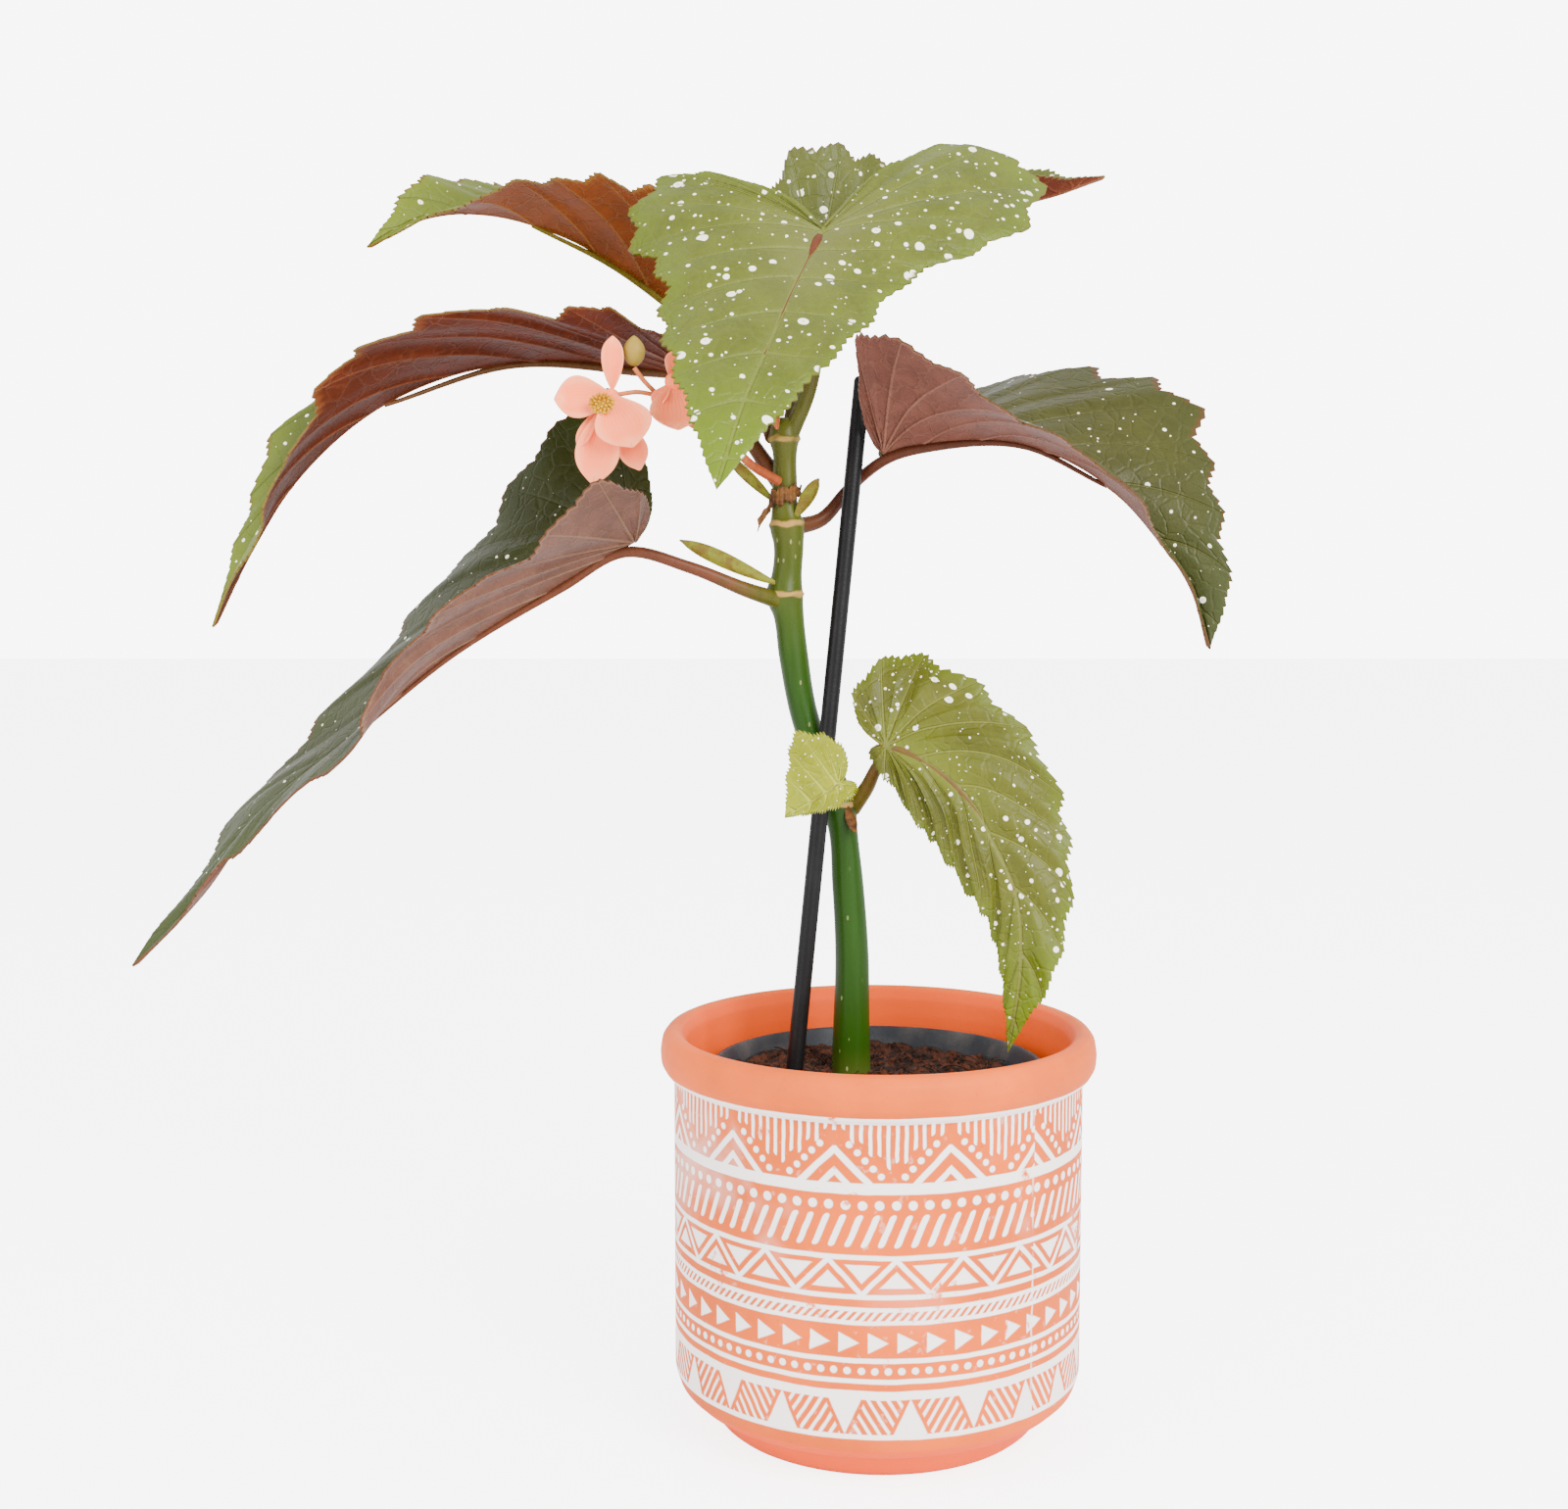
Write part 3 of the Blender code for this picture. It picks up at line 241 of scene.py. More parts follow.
class Graph:
    """Shorthand for a node tree, in which sockets and plain values mix freely."""

    def __init__(self, tree):
        self.tree = tree

    def node(self, kind, **settings):
        made = self.tree.nodes.new(kind)
        for key, value in settings.items():
            setattr(made, key, value)
        return made

    def feed(self, socket, value):
        if isinstance(value, Num):
            value = value.socket
        if isinstance(value, bpy.types.NodeSocket):
            self.tree.links.new(value, socket)
        elif socket.type == "RGBA":
            socket.default_value = (*value[:3], 1)
        else:
            socket.default_value = value

    def build(self, kind, inputs, output=0, **settings):
        """Adds a node, feeds its inputs by name or number and gives one of its outputs."""
        made = self.node(kind, **settings)
        for key, value in inputs.items():
            self.feed(made.inputs[key], value)
        return made.outputs[output]

    def finish(self, *values):
        """Feeds the outputs of a node group in their order and gives its tree."""
        for socket, value in zip(self.node("NodeGroupOutput").inputs, values):
            self.feed(socket, value)
        return self.tree

    def join(self, *shapes):
        node = self.node("GeometryNodeJoinGeometry")
        for shape in shapes:
            self.feed(node.inputs[0], shape)
        return node.outputs[0]

    def maths(self, operation, *values, clamp=False):
        return Num(self, self.build("ShaderNodeMath", dict(enumerate(values)), operation=operation,
                                    use_clamp=clamp))

    def mix(self, share, first, second):
        return self.build("ShaderNodeMix", {0: share, 6: first, 7: second}, 2, data_type="RGBA",
                          clamp_factor=True)

    def noise(self, place, scale, detail=3.0, rough=0.55, stretch=None):
        if stretch:
            place = self.stretched(place, stretch)
        return Num(self, self.build("ShaderNodeTexNoise", {
            "Vector": place, "Scale": scale, "Detail": detail, "Roughness": rough}, "Fac"))

    def cells(self, place, scale, feature="F1", output="Distance", randomness=1.0):
        found = self.build("ShaderNodeTexVoronoi", {
            "Vector": place, "Scale": scale, "Randomness": randomness}, output, feature=feature)
        return found if output == "Color" else Num(self, found)

    def place(self):
        return self.node("ShaderNodeTexCoord").outputs["Object"]

    def leaf_data(self):
        """Distance from a vein in mm, share of the way to the edge, share of the way to the tip."""
        return self.parts(self.node("ShaderNodeAttribute", attribute_name="leaf_data").outputs["Vector"])

    def toned(self, colour, value, saturation=1.0):
        return self.build("ShaderNodeHueSaturation", {
            "Color": colour, "Value": value, "Saturation": saturation})

    def stretched(self, place, factors):
        return self.build("ShaderNodeVectorMath", {0: place, 1: factors}, operation="MULTIPLY")

    def shaken(self, place, scale, amount):
        """place moved about by a smooth noise."""
        wave = self.build("ShaderNodeTexNoise", {"Vector": place, "Scale": scale}, "Color")
        centre = self.build("ShaderNodeVectorMath", {0: wave, 1: (0.5,) * 3}, operation="SUBTRACT")
        return self.build("ShaderNodeVectorMath", {0: centre, 1: (amount,) * 3, 2: place},
                          operation="MULTIPLY_ADD")

    def parts(self, value, kind="ShaderNodeSeparateXYZ"):
        node = self.node(kind)
        self.feed(node.inputs[0], value)
        return [Num(self, socket) for socket in node.outputs]


class Num:
    """A number socket; each sum or function of it adds a Math node."""

    def __init__(self, graph, socket):
        self.graph, self.socket = graph, socket

    def do(self, operation, *others, clamp=False):
        return self.graph.maths(operation, self, *others, clamp=clamp)

    def __add__(self, other):
        return self.do("ADD", other)

    def __sub__(self, other):
        return self.do("SUBTRACT", other)

    def __mul__(self, other):
        return self.do("MULTIPLY", other)

    def __truediv__(self, other):
        return self.do("DIVIDE", other)

    def flipped(self, top=1.0):
        return self.graph.maths("SUBTRACT", top, self)

    def size(self):
        return self.do("ABSOLUTE")

    def centred(self):
        """Distance from the middle of the unit cell, -0.5 to 0.5."""
        return self.do("FRACT") - 0.5

    def below(self, edge, soft):
        """1 where the number is under edge, 0 above, with a soft step."""
        return self.graph.maths("MULTIPLY_ADD", self.graph.maths("SUBTRACT", edge, self), 1 / soft, 0.5,
                                clamp=True)

    def between(self, low, high):
        return Num(self.graph, self.graph.build("ShaderNodeMapRange", {
            "Value": self, "From Min": low, "From Max": high}, "Result", interpolation_type="SMOOTHSTEP"))

    def either(self, other):
        return self.do("MAXIMUM", other)

    def both(self, other):
        return self.do("MINIMUM", other)


COLOUR, NUMBER, WHOLE = "NodeSocketColor", "NodeSocketFloat", "NodeSocketInt"
GEOMETRY, MATERIAL = "NodeSocketGeometry", "NodeSocketMaterial"


def node_group(name, kind, inputs, outputs):
    """New node group with named sockets; gives its graph and its input sockets."""
    tree = bpy.data.node_groups.new(name, kind)
    for label, socket_kind, default in inputs:
        socket = tree.interface.new_socket(label, in_out="INPUT", socket_type=socket_kind)
        if default is not None:
            socket.default_value = (*default, 1) if socket_kind == COLOUR else default
    for label, socket_kind in outputs:
        tree.interface.new_socket(label, in_out="OUTPUT", socket_type=socket_kind)
    graph = Graph(tree)
    return graph, graph.node("NodeGroupInput").outputs


def shader_group(name, inputs):
    return node_group(name, "ShaderNodeTree", inputs,
                      (("Color", COLOUR), ("Roughness", NUMBER), ("Height", NUMBER)))


def shape_group(name, inputs):
    return node_group(name, "GeometryNodeTree",
                      (("Geometry", GEOMETRY, None), *inputs, ("Material", MATERIAL, None)),
                      (("Geometry", GEOMETRY),))


def skin_material(name, group, values, bump=0.0005, shine=0.15, **shader_values):
    """Material whose colour, roughness and bump come from a shader group."""
    made = bpy.data.materials.new(name)
    made.use_nodes = True
    graph = Graph(made.node_tree)
    shader = made.node_tree.nodes["Principled BSDF"]
    skin = graph.node("ShaderNodeGroup", node_tree=group)
    for key, value in values.items():
        graph.feed(skin.inputs[key], value)
    graph.feed(shader.inputs["Base Color"], skin.outputs["Color"])
    graph.feed(shader.inputs["Roughness"], skin.outputs["Roughness"])
    relief = graph.node("ShaderNodeBump")
    relief.inputs["Distance"].default_value = bump
    relief.inputs["Strength"].default_value = 1.0
    graph.feed(relief.inputs["Height"], skin.outputs["Height"])
    graph.feed(shader.inputs["Normal"], relief.outputs[0])
    shader.inputs["Specular IOR Level"].default_value = shine
    for key, value in shader_values.items():
        shader.inputs[key.replace("_", " ")].default_value = value
    return made


def leaf_upper_group():
    """Upper face: mottled green, pale veins, ivory spots between them and a red margin."""
    g, given = shader_group("Leaf upper face", [
        ("Green", COLOUR, (0.2, 0.2, 0.05)), ("Tip Green", COLOUR, (0.3, 0.4, 0.05)),
        ("Heart Green", COLOUR, (0.3, 0.3, 0.1)), ("Spot Color", COLOUR, linear((240, 236, 214))),
        ("Spot Scale", NUMBER, 14.0), ("Spot Share", NUMBER, 0.6), ("Spot Size", NUMBER, 1.0),
        ("Vein Share", NUMBER, 0.5), ("Margin Red", NUMBER, 0.5)])
    flat = g.node("ShaderNodeUVMap", uv_map="Blade").outputs[0]
    vein, edge, tip = g.leaf_data()
    mottle = g.noise(flat, 6.0, 4.0)
    fine = g.noise(flat, 45.0, 3.0)
    deep = g.toned(given["Green"], 0.70)
    colour = g.mix((mottle * 0.7 + fine * 0.3).between(0.3, 0.66), deep, given["Green"])
    heart = edge.between(0.55, 0.0) * tip.between(0.5, 0.05)
    colour = g.mix(heart * 0.8, colour, given["Heart Green"])
    colour = g.mix(tip.between(0.5, 1.0) * 0.85, colour, given["Tip Green"])
    colour = g.mix(edge.between(0.8, 1.0) * 0.35, colour, given["Tip Green"])
    width = edge.flipped() * 0.75 + 0.35
    line = (vein / width).between(1.0, 0.25)
    halo = (vein / (width * 3.0)).between(1.0, 0.2)
    pale = g.toned(given["Green"], 1.6, 0.9)
    colour = g.mix((line * 0.75 + halo * 0.25) * Num(g, given["Vein Share"]), colour, pale)
    web = g.cells(g.shaken(flat, 20.0, 0.02), 17.0, "DISTANCE_TO_EDGE").between(0.10, 0.0)
    colour = g.mix(web * 0.14 * Num(g, given["Vein Share"]), colour, pale)
    spots, hearts = None, None
    for scale, least, most, share in SPOT_SIZES:
        place = g.shaken(flat, 14.0, 0.010 * scale)
        size = g.maths("MULTIPLY", given["Spot Scale"], scale)
        red, green, _ = g.parts(g.cells(place, size, output="Color", randomness=0.9),
                                "ShaderNodeSeparateColor")
        radius = (red * red * (most - least) + least) * Num(g, given["Spot Size"])
        shown = green.below(Num(g, given["Spot Share"]) * share, 0.01)
        reach = g.cells(place, size, randomness=0.9) - radius
        dots = reach.between(0.022, -0.012) * shown
        core = (reach + radius * 0.62).between(0.015, -0.015) * shown * red.between(0.35, 0.5)
        spots = dots if spots is None else spots.either(dots)
        hearts = core if hearts is None else hearts.either(core)
    clear = vein.between(0.25, 0.7) * edge.between(0.985, 0.94) * edge.between(0.02, 0.06)
    colour = g.mix(spots * clear * 0.97, colour, given["Spot Color"])
    colour = g.mix(hearts * clear * 0.4, colour, given["Tip Green"])
    colour = g.mix(edge.between(0.976, 0.998) * Num(g, given["Margin Red"]), colour, linear((96, 40, 26)))
    pores = g.cells(flat, 130.0, "SMOOTH_F1")
    return g.finish(colour, fine * 0.16 + 0.32,
                    pores * 0.2 - web * 0.4 - line * 0.8 + spots * clear * 0.35)


def leaf_under_group():
    """Underside: dusky red with raised, lighter veins."""
    g, given = shader_group("Leaf underside", [
        ("Red", COLOUR, (0.3, 0.1, 0.05)), ("Tip Red", COLOUR, (0.2, 0.06, 0.03)),
        ("Vein Color", COLOUR, linear((186, 140, 110)))])
    flat = g.node("ShaderNodeUVMap", uv_map="Blade").outputs[0]
    vein, edge, tip = g.leaf_data()
    mottle = g.noise(flat, 9.0, 4.0)
    colour = g.mix(mottle.between(0.3, 0.72), g.toned(given["Red"], 0.68), given["Red"])
    colour = g.mix(tip.between(0.3, 1.0), colour, given["Tip Red"])
    width = edge.flipped() * 0.8 + 0.35
    line = (vein / width).between(1.0, 0.3)
    web = g.cells(g.shaken(flat, 20.0, 0.03), 15.0, "DISTANCE_TO_EDGE").between(0.07, 0.0)
    colour = g.mix(line * 0.42 + web * 0.12, colour, given["Vein Color"])
    colour = g.mix(edge.between(0.965, 0.995) * 0.5, colour, given["Vein Color"])
    return g.finish(colour, mottle * 0.2 + 0.42,
                    line * 0.6 + web * 0.5 + g.cells(flat, 110.0, "SMOOTH_F1") * 0.25)


def stalk_group():
    """Fleshy stalk whose colour changes from its foot to its end, with fine lengthwise streaks."""
    g, given = shader_group("Stalk skin", [
        ("Foot Color", COLOUR, (0.2, 0.15, 0.05)), ("End Color", COLOUR, (0.3, 0.1, 0.05))])
    _, _, share = g.leaf_data()
    place = g.place()
    streak = g.noise(place, 420.0, 3.0, stretch=(1, 1, 0.25))
    colour = g.mix((share + streak * 0.5 - 0.25).between(0.1, 0.9), given["Foot Color"], given["End Color"])
    return g.finish(g.toned(colour, streak * 0.7 + 0.65), streak * 0.2 + 0.34, streak)


def cane_group():
    """Cane skin: deep green below, olive above, tan rings at the leaf scars and small pale pores."""
    g, given = shader_group("Cane skin", [
        ("Low Color", COLOUR, linear((58, 88, 14))), ("High Color", COLOUR, linear((122, 128, 46))),
        ("Scar Color", COLOUR, linear((150, 118, 60)))])
    place = g.place()
    _, _, height = g.parts(place)
    streak = g.noise(place, 300.0, 4.0, stretch=(1, 1, 0.06))
    patch = g.noise(place, 40.0, 3.0)
    level = (height + patch * 0.03 - 0.015).between(0.25, 0.345)
    colour = g.mix(level, given["Low Color"], given["High Color"])
    colour = g.toned(colour, streak * 0.6 + patch * 0.3 + 0.55)
    colour = g.mix(height.between(0.135, 0.115) * 0.45, colour, linear((92, 88, 40)))
    ragged = height + g.noise(place, 160.0, 2.0) * 0.003 - 0.0015
    scars = None
    for z in SCAR_HEIGHTS:
        ring = (ragged - z * MM).size().between(0.0014, 0.0005)
        scars = ring if scars is None else scars.either(ring)
    colour = g.mix(scars * g.noise(place, 90.0, 2.0).between(0.25, 0.5), colour, given["Scar Color"])
    pores = g.cells(g.stretched(place, (1, 1, 0.5)), 260.0).between(0.14, 0.08) * patch.between(0.45, 0.6)
    colour = g.mix(pores * 0.4, colour, linear((170, 172, 110)))
    return g.finish(colour, streak * 0.2 + scars * 0.3 + 0.26, streak * 0.6 + scars * 0.6 + pores * 0.6)


def petal_group():
    """Petal: soft colour that pales to the rim, with faint lengthwise veins and a sparkle of cells."""
    g, given = shader_group("Petal skin", [
        ("Heart Color", COLOUR, linear((250, 150, 124))), ("Rim Color", COLOUR, linear((255, 206, 190)))])
    across, along_, _ = g.parts(g.node("ShaderNodeUVMap", uv_map="Petal").outputs[0])
    place = g.place()
    cloud = g.noise(place, 120.0, 3.0)
    rim = (across.size().between(0.5, 1.0)).either(along_.between(0.75, 1.0))
    colour = g.mix((rim * 0.6 + cloud * 0.6 - 0.1), given["Heart Color"], given["Rim Color"])
    lines = ((across * 7.0 + cloud * 0.8).centred().size()).between(0.12, 0.0) * along_.between(1.0, 0.3)
    return g.finish(g.toned(colour, lines * -0.10 + 1.0), cloud * 0.15 + 0.42,
                    g.cells(place, 2600.0, "SMOOTH_F1") * 0.5 - lines * 0.8)


def dry_group():
    """Papery scale: uneven brown or green, with lengthwise fibres."""
    g, given = shader_group("Papery scale", [
        ("Main Color", COLOUR, linear((140, 96, 50))), ("Edge Color", COLOUR, linear((84, 46, 24)))])
    place = g.place()
    fibres = g.noise(place, 700.0, 4.0, stretch=(0.4, 1, 1))
    patch = g.noise(place, 220.0, 3.0)
    colour = g.mix((patch * 0.7 + fibres * 0.3).between(0.38, 0.62), given["Edge Color"],
                   given["Main Color"])
    return g.finish(colour, fibres * 0.2 + 0.5, fibres + patch)


def soil_group():
    """Coir and bark: every crumb and fibre has its own brown."""
    g, given = shader_group("Potting mix", [
        ("Dark Color", COLOUR, linear((44, 27, 18))), ("Light Color", COLOUR, linear((122, 72, 44)))])
    place = g.place()
    red, green, _ = g.parts(g.cells(place, 420.0, output="Color"), "ShaderNodeSeparateColor")
    grit = g.noise(place, 900.0, 4.0)
    share = (red * 0.6 + grit * 0.7 - 0.35).between(0.1, 0.75)
    colour = g.mix(share * 0.85, given["Dark Color"], given["Light Color"])
    return g.finish(colour, green * 0.15 + 0.8, grit + share * 0.5)


def plastic_group():
    """Moulded plastic: faint orange peel, rub marks and dust."""
    g, given = shader_group("Moulded plastic", [
        ("Main Color", COLOUR, (0.02, 0.02, 0.02)), ("Dust Color", COLOUR, (0.2, 0.2, 0.2)),
        ("Dust", NUMBER, 0.1), ("Gloss Loss", NUMBER, 0.35)])
    place = g.place()
    patch = g.noise(place, 60.0, 4.0)
    rub = g.noise(place, 260.0, 3.0, stretch=(1, 1, 0.1))
    colour = g.mix(patch.between(0.4, 0.75) * Num(g, given["Dust"]), given["Main Color"],
                   given["Dust Color"])
    return g.finish(colour, rub * 0.18 + Num(g, given["Gloss Loss"]),
                    g.noise(place, 900.0, 2.0) + rub * 0.4)


def row_cells(angle, degrees, start):
    """Distance along the wall, in mm, from the middle of the nearest repeat in a row of the pattern."""
    return ((angle - start) / degrees + 0.5).centred() * (math.radians(degrees) * WALL_RADIUS)


def stripe(height, middle, half):
    return (height - middle).size().below(half, 0.35)


def dots(across, up, radius):
    return (across * across + up * up).do("SQRT").below(radius, 0.35)


def strokes_and_peaks(angle, height):
    """Top band: double peaks on a line, dots beside their slopes, and strokes that hang between them."""
    top, *repeat = PEAKS
    peak_x = row_cells(angle, *repeat).size()
    drop = (height - top) * -1.0
    slope = (peak_x - drop) * SLANT
    shape = slope.size().below(1.05, 0.35).both(drop.below(12.6, 0.3)).both((drop * -1.0).below(1.0, 0.3))
    inner = ((peak_x - drop + 7.2) * SLANT).size().below(1.0, 0.35).both(drop.below(12.6, 0.3))
    along = (peak_x + drop) * SLANT
    bead_x = ((along - 2.4) / 3.7).do("ROUND").do("MAXIMUM", 0.0).do("MINIMUM", 4.0) * 3.7 + 2.4
    beads = dots(along - bead_x, slope - 4.4, 1.15)
    top, pitch, start = STROKES
    stroke_x = row_cells(angle, pitch, start)
    turn = ((angle - start) / pitch + 0.5).do("FLOOR")
    odd = (turn * 0.5).do("FRACT") * 2.0
    length = peak_x * 0.72 + 2.2 - odd * 2.2
    hang = height.flipped(top)
    body = (hang - length).do("MAXIMUM", 0.0)
    shafts = (stroke_x * stroke_x + body * body).do("SQRT").below(0.62, 0.3)
    return shape.either(inner).either(beads).either(shafts)


def dashes(angle, height):
    """Row of leaning dashes with round ends."""
    middle, *repeat = DASHES
    lean = row_cells(angle, *repeat) - (height - middle) * 0.42
    fold = lean - (lean / 5.42).do("ROUND") * 5.42
    past = ((height - middle).size() - 4.3).do("MAXIMUM", 0.0)
    return (fold * fold + past * past).do("SQRT").below(1.1, 0.35)


def zigzag(angle, height):
    """Zigzag between two lines, with a small solid triangle in each opening."""
    foot, *repeat = ZIGZAG
    middle = row_cells(angle, *repeat)
    rise = (height - foot) / 11.6
    line = (middle.size() - (rise.flipped() * 11.2)) * 0.72
    zig = line.size().below(0.85, 0.35)
    low = (line * -1.0 - 2.6).both(height - 70.6)
    far = (middle.size().flipped(11.2)) - rise * 11.2
    high = (far * -0.72 - 2.6).both(height.flipped(78.2))
    solid = (low * -1.0).below(0.0, 0.4).either((high * -1.0).below(0.0, 0.4))
    return zig.either(solid)


def arrows(angle, height):
    """Row of solid arrowheads that point right."""
    level, *repeat = ARROWS
    middle, off = row_cells(angle, *repeat), (height - level).size()
    slant = off * 1.9 + middle - 3.3
    return (slant * 0.45).below(0.0, 0.45).both((middle * -1.0).below(3.3, 0.4)).both(off.below(3.3, 0.4))


def teeth_row(angle, height):
    """Bottom band: triangles that hang and stand by turns, with slanted hatching between them."""
    middle, pitch, start = TEETH
    near = row_cells(angle, pitch, start).size()
    half = math.radians(pitch) * WALL_RADIUS / 2
    hang = near - (height - 21.5) * 0.45
    stand = near.flipped(half) - height.flipped(33.5) * 0.47
    solid = hang.below(0.0, 0.5).either(stand.below(0.0, 0.5))
    hatch = ((near + (height - 27.0) * 0.62) / 3.3).centred().size().below(0.2, 0.14)
    clear = hang.below(1.5, 0.5).flipped().both(stand.below(1.5, 0.5).flipped())
    return solid.either(hatch.both(clear)).both((height - middle).size().below(6.6, 0.3))


def rope(angle, height):
    """Narrow band of slanted hatching."""
    middle, *repeat = ROPE
    sway = row_cells(angle, *repeat) - (height - middle) * 0.9
    hatch = (sway / 2.9).centred().size().below(0.27, 0.12)
    return hatch.both((height - middle).size().below(2.0, 0.3))


def pot_group():
    """Fired clay with a white band of rows of lines, dots, dashes, triangles and arrowheads."""
    g, given = shader_group("Patterned clay", [
        ("Clay Color", COLOUR, linear((226, 134, 88))), ("Paint Color", COLOUR, linear((250, 240, 232))),
        ("Inner Color", COLOUR, linear((200, 70, 20))), ("Wear", NUMBER, 0.35)])
    wall = g.node("ShaderNodeUVMap", uv_map="Wall").outputs[0]
    place = g.place()
    turn, high, _ = g.parts(wall)
    wobble = g.noise(place, 130.0, 2.0) - 0.5
    wobble_up = g.noise(g.stretched(place, (1, -1, 1)), 90.0, 2.0) - 0.5
    angle = turn * 360.0 + wobble * 0.7
    height = high * 100.0 + wobble_up * 0.7
    paint = stripe(height, *LINES[0])
    for middle, half in LINES[1:]:
        paint = paint.either(stripe(height, middle, half))
    for middle, radius, pitch, start in DOT_ROWS:
        paint = paint.either(dots(row_cells(angle, pitch, start), height - middle, radius))
    paint = paint.either(strokes_and_peaks(angle, height).both((height.flipped(126)).below(24, 0.3)))
    paint = paint.either(dashes(angle, height)).either(zigzag(angle, height).both(
        (height - 74.2).size().below(6.3, 0.3)))
    paint = paint.either(arrows(angle, height)).either(teeth_row(angle, height)).either(rope(angle, height))
    banded = (height - 73.0).size().below(54.5, 0.3)
    radius = g.build("ShaderNodeVectorMath", {0: g.stretched(place, (1, 1, 0))}, "Value", operation="LENGTH")
    inner = Num(g, radius).below(INSIDE, 0.001)
    banded = banded * inner.flipped()
    paint = paint * banded
    wear = g.noise(place, 48.0, 5.0, 0.7)
    gone = (wear + Num(g, given["Wear"]) * 0.2).between(0.66, 0.74)
    paint = paint * gone.flipped()
    cloud = g.noise(place, 26.0, 3.0).between(0.5, 0.72) * (height - 108.0).size().between(60.0, 0.0)
    seam = (turn * 360.0 - SEAM + 0.35 + wobble * 1.2).size().below(0.35, 0.2)
    seam = seam * g.noise(place, 70, 2).between(0.4, 0.6)
    haze = (cloud * 0.35 + g.noise(place, 300.0, 3.0).between(0.62, 0.72) * 0.15 + seam * 0.6) * banded
    dim = g.toned(given["Clay Color"], g.noise(place, 22.0, 4.0).between(0.3, 0.7) * 0.25 + 0.82)
    clay = g.mix(g.noise(place, 500.0, 2.0).between(0.62, 0.8) * 0.2, dim, linear((130, 50, 20)))
    clay = g.mix(inner * 0.85, clay, given["Inner Color"])
    colour = g.mix(haze.either(paint * 0.96), clay, given["Paint Color"])
    return g.finish(colour, paint * 0.15 + g.noise(place, 80.0, 3.0) * 0.2 + 0.42,
                    paint * -0.8 + g.noise(place, 700.0, 3.0) * 0.25)


def smooth(knots, values, at):
    """Cubic through values at knots, straight beyond both ends."""
    knots, values, at = np.asarray(knots, float), np.asarray(values, float), np.asarray(at, float)
    if values.ndim == 1:
        return smooth(knots, values[:, None], at)[..., 0]
    slope = np.gradient(values, knots, axis=0)
    i = np.clip(np.searchsorted(knots, at) - 1, 0, len(knots) - 2)
    step = (knots[i + 1] - knots[i])[..., None]
    t = ((at - knots[i])[..., None]) / step
    c = np.clip(t, 0, 1)
    start, end, out, into = values[i], values[i + 1], slope[i] * step, slope[i + 1] * step
    curve = ((2 * c**3 - 3 * c**2 + 1) * start + (c**3 - 2 * c**2 + c) * out
             + (3 * c**2 - 2 * c**3) * end + (c**3 - c**2) * into)
    return curve + np.minimum(t, 0) * out + np.maximum(t - 1, 0) * into


def along(points, count):
    """count places at even steps along a smooth line through points."""
    points = np.array(points, float)
    chord = np.r_[0, np.cumsum(np.linalg.norm(np.diff(points[:, :3], axis=0), axis=1))]
    fine = smooth(chord, points, np.linspace(0, chord[-1], 400))
    run = np.r_[0, np.cumsum(np.linalg.norm(np.diff(fine[:, :3], axis=0), axis=1))]
    want = np.linspace(0, run[-1], count)
    return np.stack([np.interp(want, run, fine[:, k]) for k in range(fine.shape[1])], 1)


def mesh_object(name, points, faces, materials, slots=None, uv=None, data=None, crease=None):
    """Object from points in mm; uv holds a layer name and a place per point, data a vector per point."""
    mesh = bpy.data.meshes.new(name)
    mesh.from_pydata((np.asarray(points) * MM).tolist(), [], [list(map(int, f)) for f in faces])
    for one in materials:
        mesh.materials.append(one)
    if slots is not None:
        mesh.polygons.foreach_set("material_index", np.asarray(slots, np.int32))
    mesh.polygons.foreach_set("use_smooth", np.ones(len(mesh.polygons), bool))
    if uv is not None:
        layer = mesh.uv_layers.new(name=uv[0])
        corner = np.zeros(len(mesh.loops), np.int32)
        mesh.loops.foreach_get("vertex_index", corner)
        places = np.asarray(uv[1], float)
        layer.data.foreach_set("uv", (places[corner] if len(places) == len(points) else places).ravel())
    if data is not None:
        layer = mesh.attributes.new("leaf_data", "FLOAT_VECTOR", "POINT")
        layer.data.foreach_set("vector", np.asarray(data, np.float32).ravel())
    mesh.update()
    if crease:
        mesh.set_sharp_from_angle(angle=math.radians(crease))
    obj = bpy.data.objects.new(name, mesh)
    bpy.context.scene.collection.objects.link(obj)
    return obj


def keep(obj, slot, *nodes):
    """Fixes a finished piece to the frame in place of its plain nodes."""
    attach(obj, "root")
    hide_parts(*nodes)
    return obj


def grid_faces(rows, columns):
    return [[i * columns + j, i * columns + j + 1, (i + 1) * columns + j + 1, (i + 1) * columns + j]
            for i in range(rows - 1) for j in range(columns - 1)]


def closed(faces, count):
    """Faces of a sheet's two skins and of the rim between them; the second skin's points come count later."""
    edges = {(a, b): True for f in faces for a, b in zip(f, f[1:] + f[:1])}
    rim = [[b, a, a + count, b + count] for a, b in edges if (b, a) not in edges]
    return [list(f) for f in faces] + [[k + count for k in f[::-1]] for f in faces] + rim


